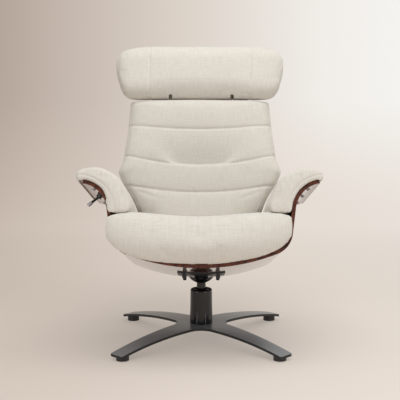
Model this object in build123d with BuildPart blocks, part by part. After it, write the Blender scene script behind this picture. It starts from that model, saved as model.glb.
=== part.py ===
from build123d import *
import math
import os

# Swivel recliner: a moulded wood shell with curled arms on a four-armed star base.
# Millimetres, +Z up, the sitter faces -Y, the floor is Z = 0 and the swivel axis is the Z axis.

os.makedirs("parts", exist_ok=True)

# Star base
leg_count = 4
leg_reach = 385
leg_root_width = 104
leg_mid_width = 70
leg_tip_width = 56
leg_mid_reach = 215
leg_thickness = 8.5
leg_crotch_radius = 54
leg_corner_radius = 5
hub_top = 58
hub_flat_radius = 60
tip_top = 21
glide_radius = 21
glide_inset = 28
glide_screw_radius = 3
glide_screw_head_radius = 6
glide_screw_head_height = 3
glide_recess_depth = 6

# Column and swivel
column_foot_radius = 39
column_head_radius = 37.5
column_height = 108
column_floor = 14
column_bore_radius = 20
cap_height = 11
cap_round = 6
cap_dish_radius = 30
cap_dish_depth = 3
cap_spigot = 6
stem_radius = 15.5
stem_clearance = 0.05
bush_length = 22
thrust_thickness = 4
ring_thickness = 2
ring_depth = 2
ring_width = 5
base_bolt_radius = 8
base_bolt_head_radius = 13
base_bolt_head_height = 9
base_washer_thickness = 4
head_radius = 24
head_stand_off = 14
bowl_neck_radius = 18
bowl_mid_radius = 31.5
bowl_rim_radius = 46
bowl_height = 24
bowl_mid_height = 6.7
bowl_wall = 2
bowl_rim_gap = 6

# Wood shell: one section carried along a seat slope
slope_angle = 15
shell_height = 226
shell_front = -367
shell_rear = 215
shell_thickness = 12
bottom_radius = 650
bottom_half_width = 235
corner_radius = 75
wall_angle = 82.5
wall_length = 84
curl_radius = 88
curl_end_angle = 8
arm_rear = 135
arm_rear_round = 70
arm_front_round = 22
shell_edge_radius = 2

# Mounting plate
plate_half_width = 81
plate_half_length = 90
plate_thickness = 4
plate_corner_radius = 12
plate_bolt_x = 58
plate_bolt_y = 68
plate_bolt_radius = 4
plate_nut_radius = 6.5
plate_nut_height = 15
plate_nut_round = 4
washer_radius = 12
washer_thickness = 2.5
bolt_head_radius = 8
bolt_head_height = 4

# Upholstery lies a little to the sitter's right in the shell
upholstery_shift = -5
body_gap = 0.3

# Recline: the back turns on the shell walls and its lower pins push the seat along
pivot_y = 80
pivot_w = 180
recline_range = 35
push_radius = 90
back_lean = 20

# Slide under the seat
rail_x = 130
rail_width = 32
rail_height = 14
rail_wall = 2.5
rail_mouth = 12
rail_front = -225
rail_rear = 12
rail_cap_thickness = 3
bearer_top = 42
runner_front = -160
runner_rear = 0
wood_screw_radius = 2.5
wood_screw_head_radius = 5
wood_screw_head_height = 3
bearer_screw_count = 3
bearer_screw_depth = 8

# Seat
frame_bottom = 62
frame_thickness = 18
frame_half_width = 229
frame_front = -262
frame_rear = 0
frame_border_side = 54
frame_border_front = 62
frame_border_rear = 50
frame_outer_corner = 15
frame_inner_corner = 30
strap_width = 45
strap_thickness = 2
seat_strap_count = 3
seat_half_width = 262
seat_crown = 160
seat_saddle = 13
seat_saddle_half_width = 225
seat_rear = 8
cushion_gap = 10
seat_mid = 118
seat_squareness = 8
seat_round = 26
bulb_drop = 5
bulb_root = 8
bulb_root_round = 14
cushion_clearance = 4
seat_station_count = 25
seat_end_share = 0.99

# Bulb in front of the seat, wide enough to lie before the shell's edge
bulb_gap = 1
bulb_overlap = 100
bulb_half_width = 287
bulb_low = 11
bulb_low_squareness = 2.1
bulb_low_power = 0.45
bulb_depth = 46
bulb_side_squareness = 4
bulb_side_power = 0.5

# Slotted brackets and their pins
bracket_thickness = 6
bracket_front = -60
bracket_edge = 14
bracket_screw_length = 27
pin_radius = 5
pin_clearance = 0.6
plate_gap = 8
hinge_plate_thickness = 6
hinge_plate_half_width = 16
bush_wall = 2
pivot_block_inset = 5
pivot_block_half_length = 32
pivot_block_below = 40
pivot_block_above = 32
pivot_block_round = 8
pivot_block_reach = 60
block_screw_bite = 7
block_screw_margin_y = 8
block_screw_margin_w = 14
pivot_bolt_head_radius = 9
pivot_bolt_head_height = 5
pivot_bolt_grip = 18

# Gas spring
cylinder_radius = 14
cylinder_wall = 1.7
cylinder_end = 6
cylinder_front = -215
cylinder_gap = 4
cylinder_axis_w = 40
gas_rod_radius = 5
piston_length = 12
piston_clearance = 0.3
piston_inset = 60
rod_plate_thickness = 10
rod_plate_half_width = 14
saddle_thickness = 14
saddle_width = 42

# Back
tube_radius = 10
tube_bend_radius = 42
tube_n = -16
crossbar_u = -50
crossbar_radius = 10.8
tube_root_inset = 64
tube_shoulder_half_width = 225
tube_top_half_width = 215
tube_waist_u = 100
tube_shoulder_u = 195
tube_top_u = 417
back_root_inset = 33
back_shoulder_outline = [(110, 236), (150, 267), (195, 290), (240, 274), (340, 261), (452, 250)]
back_front_n = 60
back_edge_n = 36
back_rear_n = -27
back_end_round = 26
back_root_n = 8
back_side_draw = 14
back_strap_count = 6
back_strap_pitch = 68
back_strap_first_u = 10
pocket_margin = 13
pocket_low_u = -64
channel_radius = 7
channel_depth = 5
# Rows of height in the middle, height at the sides and half width of each seam channel
back_channels = [(336, 356, 262), (203, 244, 285), (105, 130, 250)]
cover_thickness = 16
cover_inset = 6
cover_drop = 20
cover_round = 9

# Headrest
headrest_axis_n = 10
headrest_round = 54
headrest_axis_u = 519
headrest_seam_x = 180
headrest_half_width = 305
headrest_low_u = 465
headrest_wide_u = 587
headrest_top_u = 664
headrest_stations = [-0.99, -0.965, -0.92, -0.86, -0.78, -0.68, -0.55, -0.4, -0.2, 0]
headrest_top_squareness = 6
headrest_top_power = 1 / 3
headrest_foot_squareness = 16
headrest_foot_power = 1.4
headrest_end_fullness = 0.46
headrest_tilt = 30
seam_width = 5
seam_depth = 3
fitting_x = 110
fitting_thickness = 5
fitting_half_width = 12
arm_foot_lead = 1.5
headrest_pin_radius = 4
board_thickness = 12
board_corner = 18
board_half_width = 225
board_bottom_u = 536
board_top_u = 632
leaf_top_u = 606
swing_half_width = 13.5
swing_length = 80
headrest_slot_width = 17.5

# Arm pads
pad_front_overhang = 10
pad_rear = 118
pad_round = 12
pad_bottom = 174
# Rows of angle about the curl's centre and thickness of the pad over the wood
pad_outline = [
    (180.7, 60.3),
    (170.8, 63.9),
    (142.8, 67.5),
    (119.6, 58),
    (106.0, 47),
    (90.1, 29),
    (87.0, 7.2),
    (90.8, -8.4),
]
pad_screw_angle = 117
pad_screw_depth = 16
pad_screw_ys = (-290, -120, 50)
pad_tuck = 10
pad_root_drop = 20
pad_root_x = 330
notch_front = 36
notch_rear = 140
notch_bottom = 150
notch_top = 222

# Release lever under the curl of the arm on the sitter's right
lever_y = -235
lever_curl_angle = 129
lever_plate_length = 44
lever_plate_width = 18
lever_plate_thickness = 2.5
lever_plate_corner = 4.5
lever_ear_height = 12
lever_ear_thickness = 4.7
lever_slot_width = 8.6
lever_pin_height = 7.5
lever_screw_spacing = 31
lever_pin_radius = 1.5
lever_pin_clearance = 0.03
lever_rod_radius = 4
lever_rod_length = 30
lever_tip_radius = 6
lever_tip_length = 17
lever_tip_round = 4
lever_rest_angle = 219

# Further out than any piece, for the sides of cutting shapes
beyond = 800

# Places that follow from the sizes above
column_bottom = hub_top
column_top = column_bottom + column_height
cap_top = column_top + cap_height
bore_floor = column_bottom + column_floor
stem_bottom = bore_floor + thrust_thickness + body_gap
upper_bush_top = column_top - cap_spigot
frame_top = frame_bottom + frame_thickness
seat_bottom = frame_top + strap_thickness
rail_top = bearer_top + rail_height
inner_bottom_radius = bottom_radius - shell_thickness
inner_corner_radius = corner_radius - shell_thickness
hinge_plate_inner_x = frame_half_width + bracket_thickness + plate_gap
hinge_plate_outer_x = hinge_plate_inner_x + hinge_plate_thickness
half_range = math.radians(recline_range / 2)
push_rise = push_radius * (1 - math.cos(half_range))
pin_y = pivot_y + push_radius * math.sin(half_range)
pin_w = pivot_w - push_radius * math.cos(half_range)
seat_travel = 2 * push_radius * math.sin(half_range)
bush_outer_radius = pin_radius + bush_wall
tube_low_half_width = frame_half_width - tube_root_inset
back_root = frame_half_width - back_root_inset
back_outline = [(-85, back_root), (0, back_root + 4), (70, back_root + 10)] + back_shoulder_outline
rod_plate_front = frame_rear - frame_border_rear / 2
cylinder_rear = rod_plate_front - seat_travel - cylinder_gap

# Section of the shell, seen from the front: arcs about three centres and a straight wall
bottom_angle = math.degrees(math.asin(bottom_half_width / bottom_radius))


def heading(angle):
    """Unit vector that points out of the shell where its section runs at this angle."""
    return Vector(math.sin(math.radians(angle)), -math.cos(math.radians(angle)))


bottom_centre = Vector(0, bottom_radius)
corner_centre = bottom_centre + heading(bottom_angle) * (bottom_radius - corner_radius)
wall_foot = corner_centre + heading(wall_angle) * corner_radius
wall_run = Vector(math.cos(math.radians(wall_angle)), math.sin(math.radians(wall_angle)))
curl_centre = wall_foot + wall_run * wall_length + heading(wall_angle) * curl_radius

# Planes: the slope carries shell and seat, the back plane carries back and headrest
lean = math.radians(slope_angle)
slope = Plane(origin=(0, 0, shell_height), x_dir=(1, 0, 0), z_dir=(0, math.sin(lean), math.cos(lean)))
slope_up = Axis(slope.origin, slope.z_dir)
slope_rearward = Axis(slope.origin, slope.y_dir)
pivot = slope.from_local_coords(Vector(0, pivot_y, pivot_w))
tilt = math.radians(back_lean)
back = Plane(origin=pivot, x_dir=(1, 0, 0), z_dir=(0, -math.cos(tilt), math.sin(tilt)))


def slope_section(y):
    """Sketch plane across the slope: x to the side, w up from the shell's lowest line."""
    return Plane(origin=slope.from_local_coords(Vector(0, y, 0)), x_dir=(1, 0, 0), z_dir=-slope.y_dir)


def slope_side(x):
    """Sketch plane along the slope, seen from the side: y to the rear, w up."""
    return Plane(origin=slope.from_local_coords(Vector(x, 0, 0)), x_dir=slope.y_dir, z_dir=(1, 0, 0))


def back_section(u):
    """Sketch plane across the back at height u: x to the side, n to the front."""
    return Plane(origin=back.from_local_coords(Vector(0, u, 0)), x_dir=(1, 0, 0), z_dir=-back.y_dir)


def back_side(x):
    """Sketch plane along the back, seen from the side: n to the front, u up."""
    return Plane(origin=back.from_local_coords(Vector(x, 0, 0)), x_dir=back.z_dir, z_dir=(-1, 0, 0))


def save(builder, name):
    """Label a finished piece and write it under its own name."""
    builder.part.label = name
    export_step(builder.part, f"parts/{name}.step")


def shell_floor(x):
    """Height w of the shell's inner surface at x, between the two walls."""
    bend = corner_centre.X
    if abs(x) < inner_bottom_radius * math.sin(math.radians(bottom_angle)):
        return bottom_radius - math.sqrt(inner_bottom_radius**2 - x**2)
    return corner_centre.Y - math.sqrt(inner_corner_radius**2 - (abs(x) - bend) ** 2)


def shell_wall(w):
    """Distance of the shell's straight inner wall from the middle at height w."""
    inner_foot = wall_foot - heading(wall_angle) * shell_thickness
    return inner_foot.X + (w - inner_foot.Y) / math.tan(math.radians(wall_angle))


def interpolate(table, key):
    """Straight-line value at key from rows of (key, value)."""
    for (low, first), (high, second) in zip(table, table[1:]):
        if key <= high:
            return first + (second - first) * (key - low) / (high - low)
    return table[-1][1]


def shell_line(inset):
    """Draw half the shell's section, inset from its outer surface, and return its two ends."""
    bottom = CenterArc(bottom_centre, bottom_radius - inset, -90, bottom_angle)
    corner = CenterArc(corner_centre, corner_radius - inset, bottom_angle - 90, wall_angle - bottom_angle)
    curl = CenterArc(curl_centre, curl_radius + inset, 90 + wall_angle, curl_end_angle - wall_angle)
    Line(corner @ 1, curl @ 0)
    return bottom @ 0, curl @ 1


# Star base

with BuildSketch() as leg_outline:
    with BuildLine():
        edge = ThreePointArc(
            (0, leg_root_width / 2), (leg_mid_reach, leg_mid_width / 2), (leg_reach, leg_tip_width / 2)
        )
        Polyline(edge @ 1, (leg_reach, 0), (0, 0), edge @ 0)
    make_face()
    mirror(about=Plane.XZ)

with BuildSketch() as star_outline:
    with PolarLocations(0, leg_count, start_angle=180 / leg_count):
        add(leg_outline.sketch)
    fillet(star_outline.vertices().sort_by_distance((0, 0))[:leg_count], leg_crotch_radius)
    fillet(star_outline.vertices().sort_by_distance((0, 0))[-2 * leg_count :], leg_corner_radius)

with BuildPart() as star_base:
    with BuildSketch(Plane.XZ):
        with BuildLine():
            flat = Line((0, hub_top), (hub_flat_radius, hub_top))
            arch = TangentArc(flat @ 1, (leg_reach, tip_top), tangent=(1, 0))
            end = Line(arch @ 1, arch @ 1 - Vector(0, leg_thickness))
            under = TangentArc(flat @ 1 - Vector(0, leg_thickness), end @ 1, tangent=(1, 0))
            Polyline(under @ 0, (0, hub_top - leg_thickness), (0, hub_top))
        make_face()
    revolve(axis=Axis.Z)
    extrude(star_outline.sketch, amount=hub_top, mode=Mode.INTERSECT)
    with Locations((0, 0, hub_top)):
        Hole(base_bolt_radius)

# Space between the floor and the underside of the arms
with BuildPart() as under_legs:
    with BuildSketch(Plane.XZ):
        with BuildLine():
            flat = Line((0, hub_top - leg_thickness), (hub_flat_radius, hub_top - leg_thickness))
            arch = TangentArc(flat @ 1, (leg_reach, tip_top - leg_thickness), tangent=(1, 0))
            Polyline(arch @ 1, (leg_reach, 0), (0, 0), flat @ 0)
        make_face()
    revolve(axis=Axis.Z)

glide_places = PolarLocations(leg_reach - glide_inset, leg_count, start_angle=180 / leg_count)

with BuildPart() as glide_screws:
    with BuildSketch(Plane.XY.offset(glide_recess_depth)):
        with glide_places:
            Circle(glide_screw_radius)
    extrude(amount=hub_top)
    add(under_legs.part, mode=Mode.INTERSECT)
    with BuildSketch(Plane.XY.offset(glide_recess_depth)):
        with glide_places:
            Circle(glide_screw_head_radius)
    extrude(amount=-glide_screw_head_height)
save(glide_screws, "glide_screws")

with BuildPart() as floor_glides:
    with glide_places:
        Cylinder(glide_radius, hub_top, align=(Align.CENTER, Align.CENTER, Align.MIN))
    add(under_legs.part, mode=Mode.INTERSECT)
    with BuildSketch():
        with glide_places:
            Circle(glide_screw_head_radius)
    extrude(amount=glide_recess_depth, mode=Mode.SUBTRACT)
    add(glide_screws.part, mode=Mode.SUBTRACT)
save(floor_glides, "floor_glides")
save(star_base, "star_base")

# Column and swivel


def half_section(*corners):
    """Closed outline of (radius, height) corners beside the swivel axis."""
    with BuildSketch(Plane.XZ) as section:
        with BuildLine():
            Polyline(*corners, close=True)
        make_face()
    return section.sketch


with BuildPart() as column:
    revolve(
        half_section(
            (base_bolt_radius, column_bottom),
            (column_foot_radius, column_bottom),
            (column_head_radius, column_top),
            (column_bore_radius, column_top),
            (column_bore_radius, bore_floor),
            (base_bolt_radius, bore_floor),
        ),
        axis=Axis.Z,
    )
save(column, "column")

with BuildPart() as column_cap:
    revolve(
        half_section(
            (stem_radius + 1, upper_bush_top),
            (column_bore_radius, upper_bush_top),
            (column_bore_radius, column_top),
            (column_head_radius, column_top),
            (column_head_radius, cap_top),
            (cap_dish_radius, cap_top),
            (stem_radius + 1, cap_top - cap_dish_depth),
        ),
        axis=Axis.Z,
    )
    rim = column_cap.edges().filter_by(GeomType.CIRCLE).group_by(Axis.Z)[-1].sort_by(SortBy.RADIUS)[-1]
    fillet(rim, cap_round)
save(column_cap, "column_cap")

with BuildPart() as base_washer:
    revolve(
        half_section(
            (base_bolt_radius, hub_top - leg_thickness),
            (column_bore_radius, hub_top - leg_thickness),
            (column_bore_radius, hub_top - leg_thickness - base_washer_thickness),
            (base_bolt_radius, hub_top - leg_thickness - base_washer_thickness),
        ),
        axis=Axis.Z,
    )
save(base_washer, "base_washer")

bolt_seat = hub_top - leg_thickness - base_washer_thickness
with BuildPart() as base_bolt:
    with BuildSketch(Plane.XY.offset(bolt_seat - base_bolt_head_height)):
        RegularPolygon(base_bolt_head_radius, 6)
    extrude(amount=base_bolt_head_height)
    with BuildSketch(Plane.XY.offset(bolt_seat)):
        Circle(base_bolt_radius)
    extrude(amount=bore_floor - bolt_seat)
save(base_bolt, "base_bolt")

with BuildPart() as thrust_washer:
    revolve(
        half_section(
            (base_bolt_radius, bore_floor),
            (column_bore_radius, bore_floor),
            (column_bore_radius, bore_floor + thrust_thickness),
            (base_bolt_radius, bore_floor + thrust_thickness),
        ),
        axis=Axis.Z,
    )
save(thrust_washer, "thrust_washer")

bush_tops = {"lower_bush": bore_floor + thrust_thickness + bush_length, "upper_bush": upper_bush_top}
for bush_name, bush_top in bush_tops.items():
    with BuildPart() as bush:
        revolve(
            half_section(
                (stem_radius + stem_clearance, bush_top - bush_length),
                (column_bore_radius, bush_top - bush_length),
                (column_bore_radius, bush_top),
                (stem_radius + stem_clearance, bush_top),
            ),
            axis=Axis.Z,
        )
    save(bush, bush_name)

# The retaining ring sits in a groove of the stem, just under the upper bush
ring_top = upper_bush_top - bush_length - body_gap
ring_bottom = ring_top - ring_thickness
groove_radius = stem_radius - ring_depth

# Undersides of the mounting plate and, a gap lower, of the rim of the bowl-shaped cover
plate_underside = bottom_radius + plate_thickness
seat_of_head = shell_height - head_stand_off


def below_plate(gap):
    """Block of space that lies this gap below the mounting plate's curved underside."""
    with BuildPart() as space:
        with BuildSketch(slope_section(plate_half_length)):
            Rectangle(4 * plate_half_width, bottom_radius, align=(Align.CENTER, Align.CENTER))
            with Locations((0, bottom_radius)):
                Circle(plate_underside + gap, mode=Mode.SUBTRACT)
        extrude(amount=2 * plate_half_length)
    return space.part


with BuildPart() as stem:
    revolve(
        half_section(
            (0, stem_bottom),
            (stem_radius, stem_bottom),
            (stem_radius, ring_bottom),
            (groove_radius, ring_bottom),
            (groove_radius, ring_top),
            (stem_radius, ring_top),
            (stem_radius, seat_of_head),
            (0, seat_of_head),
        ),
        axis=Axis.Z,
    )
save(stem, "stem")

with BuildPart() as retaining_ring:
    revolve(
        half_section(
            (groove_radius, ring_bottom),
            (groove_radius + ring_width, ring_bottom),
            (groove_radius + ring_width, ring_top),
            (groove_radius, ring_top),
        ),
        axis=Axis.Z,
    )
save(retaining_ring, "retaining_ring")

head_bottom = seat_of_head - bracket_thickness
with BuildPart() as swivel_head:
    with BuildSketch(Plane.XY.offset(head_bottom)):
        Circle(head_radius)
    extrude(amount=2 * head_stand_off + bracket_thickness)
    add(below_plate(0), mode=Mode.INTERSECT)
    add(stem.part, mode=Mode.SUBTRACT)
save(swivel_head, "swivel_head")

bowl_bottom = head_bottom - bracket_thickness
with BuildPart() as stem_cover:
    with BuildSketch(Plane.XZ):
        with BuildLine():
            foot = Line((stem_radius, bowl_bottom), (bowl_neck_radius, bowl_bottom))
            bowl = ThreePointArc(
                foot @ 1,
                (bowl_mid_radius, bowl_bottom + bowl_mid_height),
                (bowl_rim_radius, bowl_bottom + bowl_height),
            )
            lip = Line(bowl @ 1, bowl @ 1 - Vector(bowl_wall, 0))
            inside = ThreePointArc(
                lip @ 1,
                (bowl_mid_radius - bowl_wall, bowl_bottom + bowl_mid_height + bowl_wall),
                (stem_radius, bowl_bottom + bowl_wall),
            )
            Line(inside @ 1, foot @ 0)
        make_face()
    revolve(axis=Axis.Z)
    add(below_plate(bowl_rim_gap), mode=Mode.INTERSECT)
save(stem_cover, "stem_cover")

# Wood shell, its plate and fixings

with BuildSketch(slope_section(shell_rear)) as shell_profile:
    with BuildLine():
        low, tip_low = shell_line(0)
        high, tip_high = shell_line(shell_thickness)
        Line(low, high)
        Line(tip_low, tip_high)
    make_face()
    mirror(about=Plane.YZ)

with BuildSketch(slope_side(0)) as shell_side:
    with BuildLine():
        Polyline(
            (shell_front, -shell_thickness),
            (shell_rear, -shell_thickness),
            (shell_rear, shell_floor(bottom_half_width)),
            (arm_rear, tip_high.Y),
            (shell_front, tip_high.Y),
            close=True,
        )
    make_face()
    arm_ends = shell_side.vertices().group_by(Axis.Y)[-1].sort_by(Axis.X)
    fillet(arm_ends[-1], arm_rear_round)
    fillet(arm_ends[0], arm_front_round)

# Space inside the shell and over its arms, out past their ends
with BuildPart() as shell_inside:
    with BuildSketch(slope_section(shell_rear)):
        with BuildLine():
            low, tip = shell_line(shell_thickness)
            arm_end = (tip_low + tip_high) / 2
            Polyline(
                tip,
                arm_end,
                (beyond, arm_end.Y),
                (beyond, beyond),
                (0, beyond),
                low,
            )
        make_face()
        mirror(about=Plane.YZ)
    extrude(amount=shell_rear - shell_front + pad_front_overhang)

plate_places = GridLocations(2 * plate_bolt_x, 2 * plate_bolt_y, 2, 2)

with BuildPart() as floor_washers:
    with BuildSketch(slope):
        with plate_places:
            Circle(washer_radius)
    extrude(amount=shell_floor(plate_bolt_x + washer_radius) + washer_thickness)
    add(shell_inside.part, mode=Mode.INTERSECT)
    with BuildSketch(slope):
        with plate_places:
            Circle(plate_bolt_radius)
    extrude(amount=2 * shell_floor(plate_bolt_x + washer_radius), mode=Mode.SUBTRACT)
save(floor_washers, "floor_washers")

bolt_head_w = shell_floor(plate_bolt_x + washer_radius) + washer_thickness
with BuildPart() as plate_bolts:
    with BuildSketch(slope.offset(bolt_head_w)):
        with plate_places:
            Circle(bolt_head_radius)
    extrude(amount=bolt_head_height)
    with BuildSketch(slope.offset(bolt_head_w)):
        with plate_places:
            Circle(plate_bolt_radius)
    extrude(amount=-bolt_head_w - plate_nut_height + plate_thickness)
save(plate_bolts, "plate_bolts")

with BuildPart() as plate_nuts:
    with BuildSketch(slope.offset(-plate_nut_height - plate_thickness / 2)):
        with plate_places:
            Circle(plate_nut_radius)
    extrude(amount=plate_nut_height + plate_thickness)
    fillet(plate_nuts.edges().filter_by(GeomType.CIRCLE).group_by(slope_up)[0], plate_nut_round)
    add(below_plate(0), mode=Mode.INTERSECT)
    add(plate_bolts.part, mode=Mode.SUBTRACT)
save(plate_nuts, "plate_nuts")

with BuildPart() as mounting_plate:
    with BuildSketch(slope_section(2 * plate_half_length)):
        with Locations((0, bottom_radius)):
            Circle(plate_underside)
            Circle(bottom_radius, mode=Mode.SUBTRACT)
        Rectangle(3 * plate_half_width, bottom_radius, mode=Mode.INTERSECT)
    extrude(amount=4 * plate_half_length)
    with BuildSketch(slope.offset(-bottom_radius / 2)):
        RectangleRounded(2 * plate_half_width, 2 * plate_half_length, plate_corner_radius)
        with plate_places:
            Circle(plate_bolt_radius, mode=Mode.SUBTRACT)
    extrude(amount=bottom_radius, mode=Mode.INTERSECT)
save(mounting_plate, "mounting_plate")

with BuildPart() as shell_blank:
    extrude(shell_profile.sketch, amount=shell_rear - shell_front)
    extrude(shell_side.sketch, amount=beyond, both=True, mode=Mode.INTERSECT)


def curl_plane(side, y, angle):
    """Plane on the arm's underside at this angle about the curl's centre, facing into the wood."""
    across = math.cos(math.radians(angle))
    up = math.sin(math.radians(angle))
    x = side * (curl_centre.X + curl_radius * across)
    w = curl_centre.Y + curl_radius * up
    inward = slope.x_dir * side * across + slope.z_dir * up
    return Plane(origin=slope.from_local_coords(Vector(x, y, w)), x_dir=slope.y_dir, z_dir=inward)


def screw(plane, radius, length, head_radius, head_height):
    """Screw whose shank runs along the plane's normal, with its head behind the plane."""
    with BuildPart() as body:
        with BuildSketch(plane):
            Circle(radius)
        extrude(amount=length)
        with BuildSketch(plane):
            Circle(head_radius)
        extrude(amount=-head_height)
    return body.part


with BuildPart() as pad_screws:
    for side in (-1, 1):
        for y in pad_screw_ys:
            place = curl_plane(side, y, pad_screw_angle)
            length = shell_thickness + pad_screw_depth
            add(screw(place, wood_screw_radius, length, wood_screw_head_radius, wood_screw_head_height))
save(pad_screws, "pad_screws")

# Recline pivots on the shell walls


def cross_plane(side, x, y, w):
    """Plane at a place in the shell, facing outwards to this side."""
    spot = slope.from_local_coords(Vector(side * x, y, w))
    return Plane(origin=spot, x_dir=slope.y_dir, z_dir=(side, 0, 0))


block_inner_x = hinge_plate_outer_x + pivot_block_inset
block_centre_w = pivot_w + (pivot_block_above - pivot_block_below) / 2
block_height = pivot_block_below + pivot_block_above

with BuildPart() as pivot_bolts:
    for side in (-1, 1):
        place = cross_plane(side, hinge_plate_inner_x - body_gap, pivot_y, pivot_w)
        grip = hinge_plate_thickness + body_gap + pivot_block_inset + pivot_bolt_grip
        add(screw(place, pin_radius, grip, pivot_bolt_head_radius, pivot_bolt_head_height))
save(pivot_bolts, "pivot_bolts")

with BuildPart() as pivot_block_screws:
    for side in (-1, 1):
        for along in (-1, 1):
            for up in (-1, 1):
                y = pivot_y + along * (pivot_block_half_length - block_screw_margin_y)
                w = block_centre_w + up * (block_height / 2 - block_screw_margin_w)
                start = block_inner_x + wood_screw_head_height
                length = shell_wall(w) + block_screw_bite - start
                place = cross_plane(side, start, y, w)
                add(screw(place, wood_screw_radius, length, wood_screw_head_radius, wood_screw_head_height))
save(pivot_block_screws, "pivot_block_screws")

with BuildPart() as pivot_blocks:
    for side in (-1, 1):
        with BuildSketch(cross_plane(side, block_inner_x, pivot_y, block_centre_w)):
            RectangleRounded(2 * pivot_block_half_length, block_height, pivot_block_round)
        extrude(amount=pivot_block_reach)
    add(shell_inside.part, mode=Mode.INTERSECT)
    add(pivot_bolts.part, mode=Mode.SUBTRACT)
    add(pivot_block_screws.part, mode=Mode.SUBTRACT)
save(pivot_blocks, "pivot_blocks")

# Release lever under the arm

lever_side = -1
on_curl = curl_plane(lever_side, lever_y, lever_curl_angle)
lever_base = Plane(origin=on_curl.origin, x_dir=on_curl.x_dir, z_dir=-on_curl.z_dir)
lever_pin_place = lever_base.from_local_coords(Vector(0, 0, lever_pin_height))
lever_turn = math.radians(lever_rest_angle)
lever_along = slope.x_dir * math.cos(lever_turn) + slope.z_dir * math.sin(lever_turn)
lever_rod_plane = Plane(origin=lever_pin_place, x_dir=slope.y_dir, z_dir=lever_along)
ear_span = lever_slot_width + 2 * lever_ear_thickness

with BuildPart() as lever_pin:
    with BuildSketch(Plane(origin=lever_pin_place, x_dir=lever_along, z_dir=slope.y_dir)):
        Circle(lever_pin_radius)
    extrude(amount=ear_span / 2, both=True)
save(lever_pin, "lever_pin")

with BuildPart() as lever_screws:
    for along in (-1, 1):
        spot = lever_base.from_local_coords(Vector(along * lever_screw_spacing / 2, 0, lever_plate_thickness))
        place = Plane(origin=spot, x_dir=lever_base.x_dir, z_dir=-lever_base.z_dir)
        add(screw(place, lever_pin_radius, shell_thickness, lever_rod_radius, lever_pin_radius))
save(lever_screws, "lever_screws")

with BuildPart() as lever_bracket:
    with BuildSketch(lever_base.offset(-lever_plate_thickness)):
        RectangleRounded(lever_plate_length, lever_plate_width, lever_plate_corner)
    extrude(amount=2 * lever_plate_thickness)
    with BuildSketch(lever_base):
        Rectangle(ear_span, lever_plate_width - lever_plate_thickness)
        Rectangle(lever_slot_width, lever_plate_width, mode=Mode.SUBTRACT)
    extrude(amount=lever_ear_height)
    add(shell_blank.part, mode=Mode.SUBTRACT)
    add(lever_pin.part, mode=Mode.SUBTRACT)
    add(lever_screws.part, mode=Mode.SUBTRACT)
save(lever_bracket, "lever_bracket")

with BuildPart() as lever_arm:
    with BuildSketch(lever_rod_plane):
        Circle(lever_rod_radius)
    extrude(amount=lever_rod_length)
    with Locations(lever_rod_plane):
        Sphere(lever_rod_radius)
    with BuildSketch(Plane(origin=lever_pin_place, x_dir=lever_along, z_dir=slope.y_dir)):
        Circle(lever_pin_radius + lever_pin_clearance)
    extrude(amount=lever_slot_width, both=True, mode=Mode.SUBTRACT)
save(lever_arm, "lever_arm")

with BuildPart() as lever_tip:
    with BuildSketch(lever_rod_plane.offset(lever_rod_length)):
        Circle(lever_tip_radius)
    extrude(amount=lever_tip_length)
    tip_edges = lever_tip.edges().filter_by(GeomType.CIRCLE)
    fillet(tip_edges.sort_by(Axis(lever_pin_place, lever_along))[-1], lever_tip_round)
save(lever_tip, "lever_tip")

# Slide: bearers, rails, runners

bearer_screw_pitch = (rail_rear - rail_front) / bearer_screw_count
bearer_ys = [rail_front + (step + 0.5) * bearer_screw_pitch for step in range(bearer_screw_count)]
with BuildPart() as bearer_screws:
    for side in (-1, 1):
        for y in bearer_ys:
            spot = slope.from_local_coords(Vector(side * rail_x, y, bearer_top - wood_screw_head_height))
            place = Plane(origin=spot, x_dir=slope.x_dir, z_dir=-slope.z_dir)
            length = bearer_top - wood_screw_head_height - shell_floor(rail_x) + bearer_screw_depth
            add(screw(place, wood_screw_radius, length, wood_screw_head_radius, wood_screw_head_height))
save(bearer_screws, "bearer_screws")

with BuildPart() as rail_bearers:
    with BuildSketch(slope_section(rail_rear)):
        with Locations((-rail_x, bearer_top), (rail_x, bearer_top)):
            Rectangle(rail_width, bearer_top, align=(Align.CENTER, Align.MAX))
    extrude(amount=rail_rear - rail_front)
    add(shell_inside.part, mode=Mode.INTERSECT)
    add(bearer_screws.part, mode=Mode.SUBTRACT)
save(rail_bearers, "rail_bearers")

slot_bottom = bearer_top + rail_wall
slot_top = rail_top - rail_wall
slot_half_width = rail_width / 2 - 2 * rail_wall
with BuildPart() as slide_rails:
    with BuildSketch(slope_section(rail_rear)):
        with Locations((-rail_x, bearer_top), (rail_x, bearer_top)):
            Rectangle(rail_width, rail_height, align=(Align.CENTER, Align.MIN))
        with Locations((-rail_x, slot_bottom), (rail_x, slot_bottom)):
            Rectangle(
                2 * slot_half_width,
                slot_top - slot_bottom,
                align=(Align.CENTER, Align.MIN),
                mode=Mode.SUBTRACT,
            )
            Rectangle(rail_mouth, rail_height, align=(Align.CENTER, Align.MIN), mode=Mode.SUBTRACT)
    extrude(amount=rail_rear - rail_front)
save(slide_rails, "slide_rails")

with BuildPart() as rail_caps:
    for end in (rail_rear + rail_cap_thickness, rail_front):
        with BuildSketch(slope_section(end)):
            with Locations((-rail_x, bearer_top), (rail_x, bearer_top)):
                Rectangle(rail_width, rail_height, align=(Align.CENTER, Align.MIN))
        extrude(amount=rail_cap_thickness)
save(rail_caps, "rail_caps")

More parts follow.
